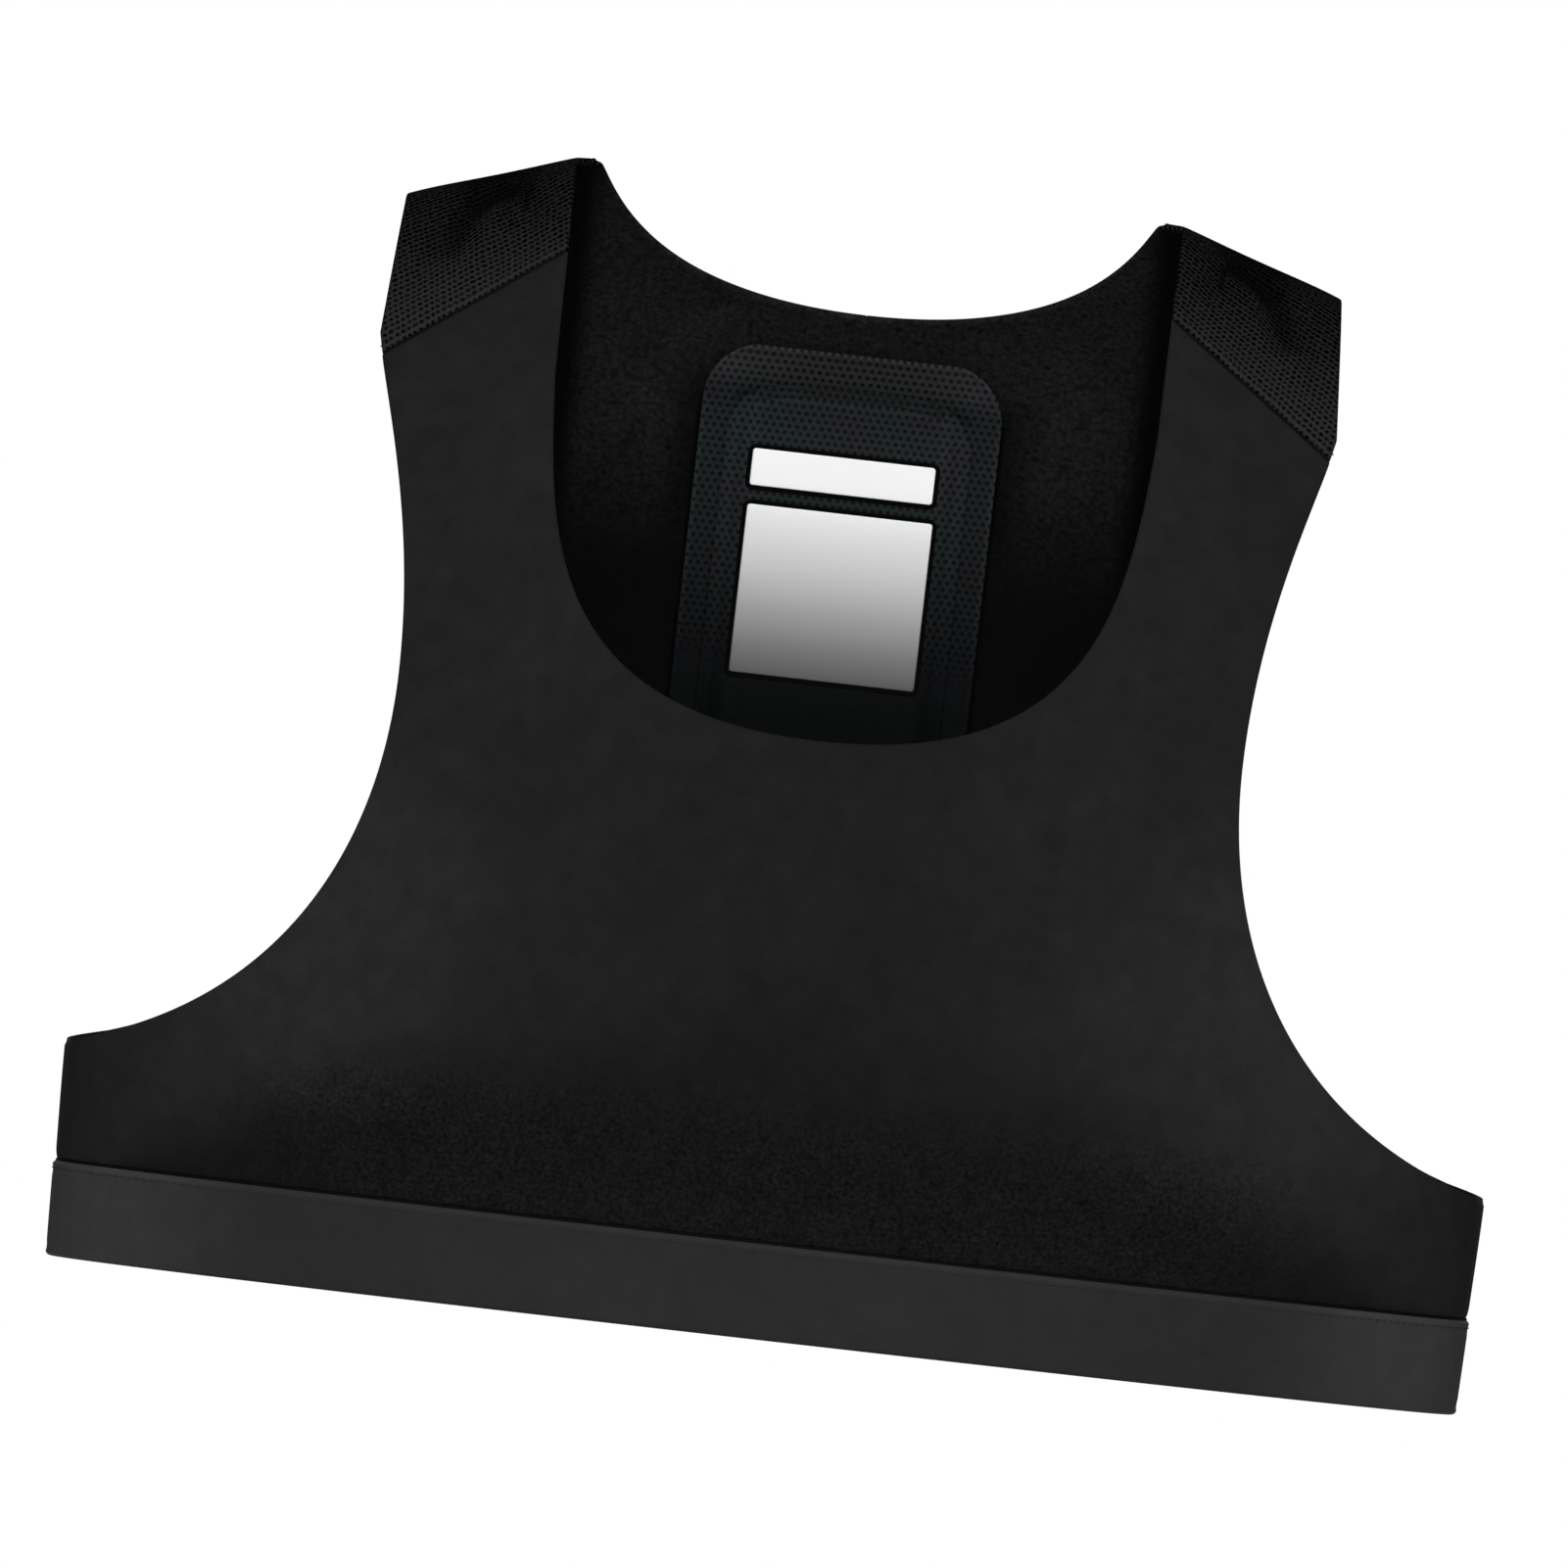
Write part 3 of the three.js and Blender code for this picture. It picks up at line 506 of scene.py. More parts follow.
def add_cloth(name, patches, materials, slot, nodes=()):
    """A closed shell of cloth: both skins of all patches, welded, with a rim round every open edge.

    A second material is for the inner skin.
    """
    form = np.concatenate([patch["form"].reshape(-1, 3) for patch in patches])
    outer, inner = (
        np.concatenate([patch[key].ravel() for patch in patches]) for key in ("outer", "inner")
    )
    weave = np.concatenate([patch["weave"].reshape(-1, 2) for patch in patches])
    faces, base = [], 0
    for patch in patches:
        rows, columns = patch["outer"].shape
        faces.append(grid_faces(rows, columns, base))
        base += rows * columns
    faces = np.concatenate(faces)
    key = np.round(form * 1e6).astype(np.int64)
    _, first, weld = np.unique(key, axis=0, return_index=True, return_inverse=True)
    faces = weld.ravel()[faces]
    form, outer, inner, weave = form[first], outer[first], inner[first], weave[first]
    fold = None
    if "fold" in patches[0]:
        fold = np.concatenate([patch["fold"].ravel() for patch in patches])[first]
        fold = np.concatenate([fold, fold])
    place, out = place_of(form), outward_at(place_of(form))
    skins = np.concatenate([place + out * outer[:, None], place + out * inner[:, None]])
    edges = np.stack([faces, np.roll(faces, -1, axis=1)], -1).reshape(-1, 2)
    count = len(form)
    forward, backward = edges[:, 0] * count + edges[:, 1], edges[:, 1] * count + edges[:, 0]
    a, b = edges[~np.isin(forward, backward)].T
    rim = np.stack([b, a, a + count, b + count], -1)
    everything = np.concatenate([faces, faces[:, ::-1] + count, rim])
    inside = None
    if len(materials) > 1:
        inside = np.repeat([0, 1, 0], [len(faces), len(faces), len(rim)])
    both = np.concatenate([weave, weave])
    piece = add_mesh(name, skins, everything, materials, slot, both, fold, inside)
    if nodes:
        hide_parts(*nodes)
    return piece


def hem(edge, width, height):
    """A turned hem: raised by height up to width from the edge, then a shallow groove, then flat."""
    return height * (1 - eased((edge - width + 0.9) / 1.6)) - 0.6 * height * ridge(edge - width - 0.5, 0.8)


def beads(away, relief):
    """Low relief beside a line: the sum of each height times a bell about its distance from it."""
    return sum(height * ridge(away - at, spread) for height, at, spread in relief)


# The materials

# Shader outputs that go by number, and noises as waves a metre, detail and roughness
OBJECT_PLACE, MIXED_COLOUR, FACTOR = 3, 2, 2
FINE_GRAIN = (1500, 2, 0.7)
INNER_GRAIN = (1300, 3, 0.75)
INNER_MOTTLE = (60, 3, 0.6)
CLOUDS = (150, 3, 0.6)

# Pitches in millimetres: the jersey's ribs and courses, the elastic's ribs and picks, and the meshes'
# holes along and across their rows
KNIT_RIB, KNIT_COURSE = 0.9, 0.7
BAND_RIB, BAND_PICK = 1.1, 0.8
YOKE_HOLES = (1.75, 1.7)
POCKET_HOLES = (2.1, 1.83)


class Socket:
    """A shader value or colour. Arithmetic on it adds Math nodes to its material."""

    def __init__(self, shader, out):
        self.shader, self.out = shader, out

    def math(self, operation, *others):
        return self.shader.math(operation, self, *others)

    def step(self, low, high):
        """A smooth step of the value from 0 at low to 1 at high."""
        sockets = {"Value": self, "From Min": low, "From Max": high}
        return self.shader.node("MapRange", {"interpolation_type": "SMOOTHSTEP"}, sockets)

    def near(self, at, low, high):
        """1 less than low from a value, fading to 0 at high from it."""
        return 1 - abs(self - at).step(low, high)

    def wave(self, pitch):
        """A cosine along a length, of that pitch."""
        return (self * (2 * math.pi / pitch)).math("COSINE")

    def __abs__(self):
        return self.math("ABSOLUTE")

    def __add__(self, other):
        return self.shader.math("ADD", self, other)

    def __sub__(self, other):
        return self.shader.math("SUBTRACT", self, other)

    def __rsub__(self, other):
        return self.shader.math("SUBTRACT", other, self)

    def __mul__(self, other):
        return self.shader.math("MULTIPLY", self, other)

    def __truediv__(self, other):
        return self.shader.math("DIVIDE", self, other)

    def __rtruediv__(self, other):
        return self.shader.math("DIVIDE", other, self)

    __radd__ = __add__
    __rmul__ = __mul__


class Finish:
    """A material: a Principled shader with constants on its own sockets, and nodes for the rest."""

    def __init__(self, name, **constants):
        self.material = bpy.data.materials.new(name)
        self.material.use_nodes = True
        self.tree = self.material.node_tree
        self.skin = self.tree.nodes["Principled BSDF"]
        for key, value in constants.items():
            self.skin.inputs[key.replace("_", " ").title().replace("Ior", "IOR")].default_value = value

    def node(self, kind, settings=None, sockets=None, output=0):
        """Any node: its settings first, a ramp's stops among them, then its sockets' values or links."""
        made = self.tree.nodes.new("ShaderNode" + kind)
        for key, value in (settings or {}).items():
            if key == "stops":
                ramp = made.color_ramp
                for place, colour in value[2:]:
                    ramp.elements.new(place)
                for element, (place, colour) in zip(ramp.elements, value):
                    element.position, element.color = place, colour
            else:
                setattr(made, key, value)
        for key, value in (sockets or {}).items():
            if isinstance(value, Socket):
                self.tree.links.new(value.out, made.inputs[key])
            else:
                made.inputs[key].default_value = value
        return Socket(self, made.outputs[output])

    def math(self, operation, *values):
        return self.node("Math", {"operation": operation}, dict(enumerate(values)))

    def mix(self, factor, first, second):
        """Two colours mixed by a factor."""
        sockets = {0: factor, 6: first, 7: second}
        return self.node("Mix", {"data_type": "RGBA"}, sockets, MIXED_COLOUR)

    def noise(self, scale, detail=2.0, roughness=0.5):
        """Noise on the piece's own place, of that many waves a metre."""
        where = self.node("TexCoord", output=OBJECT_PLACE)
        sockets = {"Vector": where, "Scale": scale, "Detail": detail, "Roughness": roughness}
        return self.node("TexNoise", None, sockets)

    def parts(self, vector, *outputs):
        """Some of a vector's three numbers, brought to millimetres."""
        return [self.node("SeparateXYZ", None, {0: vector}, output) * (1 / MM) for output in outputs]

    def weave(self):
        """The piece's own cloth map, in millimetres across and along."""
        return self.parts(self.node("UVMap", {"uv_map": "weave"}), 0, 1)

    def place(self):
        """The piece's own x and height above the hem, in millimetres."""
        x, z = self.parts(self.node("TexCoord", output=OBJECT_PLACE), 0, 2)
        return x, z + float(shoulder_rest[2])

    def feed(self, name, value):
        self.tree.links.new(value.out, self.skin.inputs[name])

    def relief(self, height, distance_mm, strength=1.0):
        """A Bump node on the shader's normal, for relief too fine for the mesh."""
        sockets = {"Strength": strength, "Distance": distance_mm * MM, "Height": height}
        self.feed("Normal", self.node("Bump", None, sockets))

    def cloth(self, level, roughness, height, distance_mm, strength=0.5, dye=None):
        """A dark cloth: a level of its dye, or else of dark grey, over black, and a fine relief."""
        self.feed("Base Color", self.mix(level, tone(0), dye or dark()))
        self.feed("Roughness", roughness)
        self.relief(height, distance_mm, strength)
        return self.material


def tone(value, tint=(1, 1, 1)):
    """A grey of the display, from 0 to 255, as a linear colour with a slight tint."""
    level = ((value / 255 + 0.055) / 1.055) ** 2.4
    return (level * tint[0], level * tint[1], level * tint[2], 1)


def dark(*tint):
    """The dark grey of which the cloths' levels are shares, tinted or plain."""
    return tone(60, tint or (1, 1, 1))


def knit_finish():
    """Fine black jersey: upright ribs and courses, mottled, with painted light on the chest's sides by the
    arms.

    Low on the chest it is speckled and darkened by painted shade, with painted light at its sides, and the
    chest's middle has painted shade too. Lengths are the cloth map's, in millimetres.
    """
    finish = Finish("black_jersey", roughness=0.85, specular_ior_level=0.03)
    across, along = finish.weave()
    aside = abs(across)
    rib = across.wave(KNIT_RIB)
    course = (along + rib * 0.12).wave(KNIT_COURSE)
    stitch = rib * 0.5 + course * 0.5
    mottle = finish.noise(38, 4, 0.6)
    cloudy = finish.noise(*CLOUDS)
    speckle = finish.noise(950, 1, 0.5)
    grain = finish.noise(*FINE_GRAIN)
    # Painted light and shade: low darkens the chest low down as painted shade and also strengthens the
    # grain there; the mask about the arms adds painted light; middle is painted shade in the chest's
    # middle; ends adds painted light at the sides low down.
    reach = (1 - (aside / 140) * (aside / 140) * 0.4).math("MAXIMUM", 0.05)
    low = 1 - (along / reach).step(48, 100)
    away = ((aside - 150) / 62).math("POWER", 2) + ((along - 100) / 52).math("POWER", 2)
    painted_arm_light = 1 - away.math("SQRT").step(0.3, 1.45)
    middle = (1 - aside.step(10, 80)) * along.step(55, 95)
    ends = aside.step(130, 190) * (1 - along.step(45, 75))
    foot = (1 - along.step(48, 72)) * (1 - aside.step(100, 165))
    level = (1 - low * 0.56) * (painted_arm_light * 0.55 + 1) * (1 - middle * 0.2) * (1 + ends * 0.15)
    level = level * (mottle * 0.5 + 0.75) * (cloudy * 0.64 + 0.68)
    level = level * (1 + (grain - 0.5) * (low * 0.9 + 0.35)) * (1 + stitch * 0.04)
    level = level * (1 + (speckle - 0.5) * foot * 2.8)
    return finish.cloth(level * KNIT_LEVEL, grain * 0.14 + 0.76, stitch * 0.5 + grain * 0.8, 0.1)


def front_inside_finish():
    """The front's dull inner side, with painted shade that darkens it low down."""
    finish = Finish("jersey_inside_front", roughness=0.92, specular_ior_level=0.02)
    high = finish.place()[1].step(100, 240)
    grain = finish.noise(*INNER_GRAIN)
    mottle = finish.noise(*INNER_MOTTLE)
    level = (high * 0.06 + 0.1) * (1 + (grain - 0.5) * (high * 1.1 + 0.3)) * (mottle * 0.6 + 0.7)
    return finish.cloth(level, grain * 0.1 + 0.86, grain, 0.12)


def outline_distance(x, z, half, bottom, top, corner):
    """Distance to a round-cornered outline: sqrt(a^2 + b^2) - corner, where a and b lead out from the
    corner's centre. It is below 0 inside, and right from the rim outwards.
    """
    aside = (abs(x) - (half - corner)).math("MAXIMUM", 0)
    middle = (bottom + top) / 2
    up = (abs(z - middle) - ((top - bottom) / 2 - corner)).math("MAXIMUM", 0)
    return (aside * aside + up * up).math("SQRT") - corner


def back_inside_finish():
    """The back's inner side: speckled, paler high up as painted shade darkens it lower down, with painted
    shadow round the pocket, in a thin line just outside the facing and beside the straps.
    """
    finish = Finish("jersey_inside_back", roughness=0.92, specular_ior_level=0.02)
    x, z = finish.place()
    # Painted light and shade: high leaves the cloth paler up top and darker lower down; the mask by the
    # straps, shade round the pocket and rim just outside the facing's outline are painted shadow.
    high = z.step(190, 250)
    painted_strap_shadow = abs(x).step(70, 78)
    away = outline_distance(x - POCKET_SHIFT, z, *FACING_OUTLINE)
    shade = (1 - away.step(1, 13)) * z.step(192, 222) * (1 - z.step(244, 260))
    rim = (1 - away.step(0.5, 1.5)) * (1 - z.step(240, 248))
    speckle = finish.noise(750, 1.5, 0.5)
    grain = finish.noise(*INNER_GRAIN)
    mottle = finish.noise(*INNER_MOTTLE)
    level = (high * 0.165 + 0.035) * (1 - painted_strap_shadow * 0.93) * (1 - shade * 0.62) * (1 - rim * 0.8)
    level = level * (1 + (speckle - 0.5) * (z.step(192, 216) * 2.0 + 0.7))
    level = level * (grain * 0.4 + 0.8) * (mottle * 0.6 + 0.7)
    return finish.cloth(level, grain * 0.1 + 0.86, grain, 0.12)


def turned_by(across, along, slope):
    """The two lengths of a cloth map, turned so that the first runs along rows of that slope."""
    c, s = math.cos(slope), math.sin(slope)
    return across * c + along * s, along * c - across * s


def holes(x, y, pitch, row_pitch, radius):
    """Round holes in staggered level rows: 1 in a hole and 0 between."""
    stagger = abs((y / row_pitch).math("FLOOR").math("MODULO", 2)) * 0.5
    dx = ((x / pitch + stagger).math("FRACT") - 0.5) * pitch
    dy = ((y / row_pitch).math("FRACT") - 0.5) * row_pitch
    away = (dx * dx + dy * dy).math("SQRT")
    return 1 - away.step(radius * 0.62, radius * 1.3)


def yoke_finish():
    """Warp-knitted mesh: uneven staggered holes in rows along the front seam, with pale threads between.

    Towards the crest the holes open and painted shade darkens the cloth, darkest in the folds there.
    """
    finish = Finish("yoke_mesh", roughness=0.85, specular_ior_level=0.0)
    x, z = finish.place()
    aside = abs(x)
    below = (VEST_HEIGHT + NECK_HALF_WIDTH / 3) - (z + aside / 3)
    crest = 1 - below.step(0, 32)
    across, along = finish.weave()
    drift = finish.noise(90, 2, 0.5)
    uneven = finish.noise(380, 1, 0.5)
    jumble = uneven * (crest * 1.5 + 1.1)
    u, v = turned_by(
        abs(across) + drift * 1.1 + jumble, along + drift * 0.9 - jumble,
        -math.atan(YOKE_SLANT),
    )
    mask = holes(u, v, *YOKE_HOLES, 0.54 + crest * 0.26)
    depth = finish.noise(420, 1, 0.5).step(0.25, 0.65) * 0.35 + crest * 0.15 + 0.62
    thread = v.wave(YOKE_HOLES[1])
    fold = finish.node("Attribute", {"attribute_name": "fold"}, output=FACTOR)
    painted_fold_shade = (fold * -1).step(0.1, 1.5)
    painted_hollow_shade = aside.near(100, 5, 15) * (1 - below.step(1, 13))
    # A short narrow dark streak near the crest.
    short_dark_streak = aside.near(91.7, 0.2, 1.3) * below.near(9, 2, 5)
    grain = finish.noise(*FINE_GRAIN)
    # Painted shade: darker towards the crest, in the sunken folds and in the hollow by the crest.
    level = (below.step(10, 36) * 0.55 + 0.45) * (1 - painted_fold_shade * 0.6) * (1 - painted_hollow_shade * 0.65)
    level = level * (1 - short_dark_streak * 0.6) * (1 + thread * (crest * 0.3 + 0.14)) * (1 + crest * 0.6)
    level = level * (grain * 0.6 + 0.7) * (1 - mask * depth)
    relief = (1 - mask) + grain * 0.15
    return finish.cloth(level * YOKE_LEVEL, grain * 0.15 + 0.75, relief, 0.35, 0.8)


def pocket_finish(name, share, floor, edges):
    """Pocket mesh: staggered holes that fade out low down, where the cloth is plain and grainy and painted
    shade darkens it.

    Its tint goes from green-black at the bottom through navy and teal to plain grey at the top, with
    violet-grey patches. A soft painted shadow line follows the pouch's mouth, and edges(across, along)
    shades the rim, with painted light and shade among its lines.
    """
    finish = Finish(name, roughness=0.85, specular_ior_level=0.03)
    across, along = finish.weave()
    drift = finish.noise(120, 2, 0.5) * 0.5
    mask = holes(across + drift, along + drift, *POCKET_HOLES, 0.55)
    plain = 1 - along.step(168, 186)
    # lit is painted shade low in the pocket, down to the floor share, and mouth below is a painted shadow
    # line along the pouch's mouth.
    lit = along.step(155, 242)
    aside = abs(across)
    fallen = (aside / POUCH_HALF_WIDTH).math("POWER", POUCH_CROWN_POWER) * POUCH_CROWN
    mouth = (along + fallen).near(POUCH_TOP - 0.3, 0.2, 1.7) * (1 - aside.step(30, 33))
    grain = finish.noise(*FINE_GRAIN)
    coarse = finish.noise(700, 2, 0.6)
    level = (lit * (1 - floor) + floor) * share * (1 - mask * 0.68 * (1 - plain)) * (1 - mouth * 0.36)
    level = level * (grain * 0.4 + 0.8) * (1 + (coarse - 0.5) * (plain * 1.0 + 0.3))
    level = level * edges(across, along)
    tint = finish.node("ValToRGB", {"stops": POCKET_TINTS}, {0: (along - FACING_BOTTOM) / FACING_LENGTH})
    patchy = finish.noise(65, 2, 0.5).step(0.44, 0.62) * along.step(165, 180)
    tint = finish.mix(patchy * 0.8, tint, dark(1.0, 0.96, 1.1))
    relief = (1 - mask * (1 - plain)) + grain * 0.15
    return finish.cloth(level, grain * 0.15 + 0.75, relief, 0.35, 0.8, tint)


def facing_edges(across, along):
    """How much paler the facing is down its bound sides, apart from low down, and with painted light above
    the pouch.
    """
    away = outline_distance(across, along, *FACING_OUTLINE)
    rim = away.step(-1.4, -0.7) * along.step(165, 185) * (1 - along.step(238, 250))
    # The step above 246 mm is painted light above the pouch.
    return (rim * 0.5 + 1) * (along.step(246, 253) * 0.85 + 1)


def pouch_edges(across, along):
    """The pouch has painted light down its slanted sides, and a faint painted shade in the groove at its
    outline higher up.
    """
    aside = abs(across)
    # slope is painted light on the slanted sides, and groove is painted shade at the outline.
    slope, groove = aside.near(28, 1, 5), aside.near(33.2, 0, 0.7)
    return (1 + slope * 0.5) * (1 - groove * along.step(165, 185) * 0.35)


def elastic_finish():
    """Woven elastic: fine level ribs, lighter and smoother than the jersey, with a painted highlight at
    its upper edge and painted light towards its ends.
    """
    finish = Finish("black_elastic", roughness=0.8, specular_ior_level=0.04)
    across, along = finish.weave()
    rib = along.wave(BAND_RIB)
    pick = across.wave(BAND_PICK)
    grain = finish.noise(1100, 3, 0.6)
    cloudy = finish.noise(*CLOUDS)
    mottle = finish.noise(30, 3, 0.5)
    x, z = finish.place()
    # Painted light towards the band's ends, and a painted highlight just under its upper edge.
    ends = abs(x).step(125, 188)
    painted_edge_highlight = z.step(22.8, 24.2)
    level = (1 + rib * 0.01 + pick * 0.008) * (grain * 0.16 + 0.92) * (mottle * 0.24 + 0.88)
    level = level * (cloudy * 0.44 + 0.78) * (ends * 1.3 + 1) * (painted_edge_highlight * 0.3 + 1)
    relief = rib * 0.2 + pick * 0.1 + grain * 0.3
    return finish.cloth(level * BAND_LEVEL, grain * 0.15 + 0.68, relief, 0.1, 0.4)


def print_finish(name, stops, low, high):
    """A smooth printed label whose grey changes with its height on the vest, by a ramp's stops."""
    finish = Finish(name, roughness=0.55, specular_ior_level=0.3)
    share = (finish.place()[1] - low) / (high - low)
    stops = [(place, tone(value)) for place, value in stops]
    finish.feed("Base Color", finish.node("ValToRGB", {"stops": stops}, {0: share}))
    grain = finish.noise(1800, 2, 0.5)
    finish.feed("Roughness", grain * 0.15 + 0.48)
    finish.relief(grain, 0.03, 0.4)
    return finish.material


def plain_finish(name, low, high, scale):
    """Thread or tape: two dark greys mottled together."""
    finish = Finish(name, roughness=0.85, specular_ior_level=0.04)
    grain = finish.noise(scale, 3, 0.6)
    finish.feed("Base Color", finish.mix(grain, tone(low), tone(high)))
    finish.feed("Roughness", grain * 0.2 + 0.7)
    finish.relief(grain, 0.1, 0.5)
    return finish.material


# The pieces

strap_middle = (NECK_HALF_WIDTH + STRAP_OUTER_HALF_WIDTH) / 2
shoulder_rest = np.array([
    0.0,
    float(shift_at(strap_top(strap_middle))),
    float(strap_top(strap_middle)) - YOKE_THICKNESS,
])

# Shares of a dark grey that make each cloth's colour
KNIT_LEVEL, YOKE_LEVEL, BAND_LEVEL = 0.241, 0.4, 0.382

# Stops from the bottom of a piece to its top: the pocket cloths' tints, and the labels' greys
POCKET_TINTS = [
    (0.0, dark(0.8, 1.18, 1.0)),
    (0.22, dark(0.8, 1.18, 1.0)),
    (0.32, dark(0.9, 0.96, 1.22)),
    (0.46, dark(0.82, 1.07, 1.12)),
    (0.88, dark(0.82, 1.07, 1.12)),
    (0.97, dark()),
]
STRIP_GREYS = [(0.0, 249), (1.0, 252)]
PANEL_GREYS = [(0.0, 76), (0.18, 112), (0.4, 154), (0.63, 193), (0.86, 222), (1.0, 242)]

KNIT = knit_finish()
FRONT_INSIDE = front_inside_finish()
BACK_INSIDE = back_inside_finish()
ELASTIC = elastic_finish()
SEAM_THREAD = plain_finish("seam_thread", 4, 12, 900)
YOKE_THREAD = plain_finish("yoke_thread", 24, 34, 900)
BAND_THREAD = plain_finish("band_thread", 40, 46, 900)
TAPE = plain_finish("seam_tape", 3, 7, 700)
YOKE_MESH = yoke_finish()
FACING_MESH = pocket_finish("facing_mesh", 0.37, 0.12, facing_edges)
POUCH_MESH = pocket_finish("pouch_mesh", 0.437, 0.072, pouch_edges)
# A painted shadow: the near-black sheet round the labels.
LABEL_SHADOW = plain_finish("label_painted_shadow", 1, 4, 900)
WHITE_PRINT = print_finish("white_print", STRIP_GREYS, *LABEL_STRIP)
GREY_PRINT = print_finish("grey_print", PANEL_GREYS, *LABEL_PANEL)

UNDERARM = (CHEST_HALF_WIDTH, UNDERARM_HEIGHT)


def side_trace(face):
    """The side seam, half a seam gap in front of or behind the side."""
    height = np.array([PANEL_FOOT, UNDERARM_HEIGHT])
    p = on_face(half_width_at(height), height, face)
    p[:, 1] = face * SEAM_GAP / 2 / depth_at(height, p[:, 1] * 0 + face)
    return onto_form(p)


def yoke_front_seam(lift):
    """The straight seam of the front view between a yoke and the front panel, raised by lift."""
    raise_by = np.array([0, lift])
    return straight(np.array(YOKE_SEAM_OUTER) + raise_by, np.array(YOKE_SEAM_INNER) + raise_by)


def yoke_back_seam(extra):
    """The seam behind the shoulder, straight in plan, extra millimetres further back."""
    reach = YOKE_BACK_REACH + extra
    return trace_top((YOKE_BACK_OUTER, reach), (YOKE_BACK_INNER, reach))


def ends(curve):
    """A curve's first and last points in the front view."""
    return curve(np.array([0.0, 1.0]))


def seen(p):
    """Where the front view shows a form point."""
    return place_of(p)[[0, 2]]


def panel_lines(face, armhole, neck_height, neck, seam):
    """A panel's edges, as fine traces of form points, from its armhole's and neck's curves."""
    side, foot = side_trace(face), trace_level(PANEL_FOOT, face)
    centre = trace_face(face, straight((0, PANEL_FOOT), (0, neck_height)))
    armhole, neck = trace_face(face, *armhole), trace_face(face, *neck)
    armhole[0], armhole[-1], neck[-1], foot[0] = side[1], seam[0], seam[-1], side[0]
    return {"side": side, "armhole": armhole, "centre": centre, "neck": neck, "foot": foot, "seam": seam}


def front_lines():
    """The front panel's edges: its armhole in two curves, and its neck in a curve and a straight."""
    seam = yoke_front_seam(-SEAM_GAP / 2)
    first, last = ends(seam)
    armhole = (
        bend(UNDERARM, ARMHOLE_WAIST, (0.692, 0.13), (0, 0.461)),
        bend(ARMHOLE_WAIST, first, (0, 0.453), (0.277, 0.189)),
    )
    low = bend((0, FRONT_NECK_HEIGHT), NECK_SIDE, (0.935, 0), (0.04, 0.443))
    neck = (low, straight(NECK_SIDE, last))
    return panel_lines(FRONT, armhole, FRONT_NECK_HEIGHT, neck, trace_face(FRONT, seam))


def back_lines():
    """The back panel's edges: its armhole in two curves, and its neck in one."""
    seam = yoke_back_seam(SEAM_GAP / 2)
    armhole = (
        bend(UNDERARM, BACK_ARMHOLE_WAIST, (0.7, 0.07), (0, 0.5)),
        bend(BACK_ARMHOLE_WAIST, seen(seam[0]), (0, 0.5), (0.3, 0.25)),
    )
    neck = [bend((0, BACK_NECK_HEIGHT), seen(seam[-1]), (0.851, 0), (0.044, 0.072))]
    return panel_lines(BACK, armhole, BACK_NECK_HEIGHT, neck, seam)


def panel_patch(lines, rows, centre_rows, finer):
    """Half a panel: a Coons patch with a hem at the neck, which fades up the straps, and soft grooves
    at the seams.
    """
    q, c = stations(rows, finer), stations(PANEL_COLUMNS, 8) / PANEL_COLUMNS
    left = edge_of(q, (lines["side"], 0, 3), (lines["armhole"], 3, rows))
    right = edge_of(q, (lines["centre"], 0, centre_rows), (lines["neck"], centre_rows, rows))
    form = filled(left, right, sampled(lines["foot"], c), sampled(lines["seam"], c), c, q / rows)
    places = place_of(form)
    away = {key: distance(places, place_of(lines[key])) for key in lines if key != "centre"}
    full = 1 - eased((np.abs(places[..., 0]) - HEM_FULL_TO) / HEM_FADE)
    outer = hem(away["neck"], HEM_WIDTH, HEM_RISE) * (HEM_SIDE_SHARE + (1 - HEM_SIDE_SHARE) * full)
    for key, (depth, spread) in PANEL_GROOVES.items():
        outer -= depth * ridge(away[key], spread)
    edge = np.minimum.reduce(list(away.values()))
    outer, inner = rounded(outer, np.full_like(outer, -CLOTH_THICKNESS), edge)
    return {"form": form, "outer": outer, "inner": inner, "weave": weave_map(form)}


def crease_at(place):
    """The creases' height: a bell round each crease's line, tapered to both ends and to the crest."""
    across = np.abs(place[..., 0]) - NECK_HALF_WIDTH
    drop = strap_top(place[..., 0]) - place[..., 2]
    down = np.where(place[..., 1] < shift_at(place[..., 2]), drop, -drop)
    total = np.zeros_like(down)
    for x0, d0, x1, d1, height, spread in CREASES:
        x, d = across - x0 * STRAP_WIDTH, down - d0 * YOKE_FRONT_REACH
        run = np.array([(x1 - x0) * STRAP_WIDTH, (d1 - d0) * YOKE_FRONT_REACH])
        along = np.clip((x * run[0] + d * run[1]) / (run @ run), 0, 1)
        off = np.hypot(x - along * run[0], d - along * run[1])
        total += height * ridge(off, spread) * np.sqrt(np.sin(np.pi * along))
    return total * eased(down / CREST_FADE)


def yoke_lines():
    """The yoke's edges on the wearer's left, as traces that meet at its corners and at the crest."""
    seam = yoke_front_seam(SEAM_GAP / 2)
    first, last = ends(seam)
    back_end = YOKE_BACK_REACH - SEAM_GAP / 2
    outer_top = (STRAP_OUTER_HALF_WIDTH, float(strap_top(STRAP_OUTER_HALF_WIDTH)))
    inner_top = (NECK_HALF_WIDTH, float(strap_top(NECK_HALF_WIDTH)))
    return {
        "corner": trace_face(FRONT, straight(first, YOKE_CORNER)),
        "arm": trace_face(FRONT, straight(YOKE_CORNER, outer_top)),
        "arm_back": trace_top((STRAP_OUTER_HALF_WIDTH, 0), (YOKE_BACK_OUTER, back_end)),
        "neck": trace_face(FRONT, straight(last, inner_top)),
        "neck_back": trace_top((NECK_HALF_WIDTH, 0), (YOKE_BACK_INNER, back_end)),
        "seam": trace_face(FRONT, seam),
        "back": yoke_back_seam(-SEAM_GAP / 2),
    }


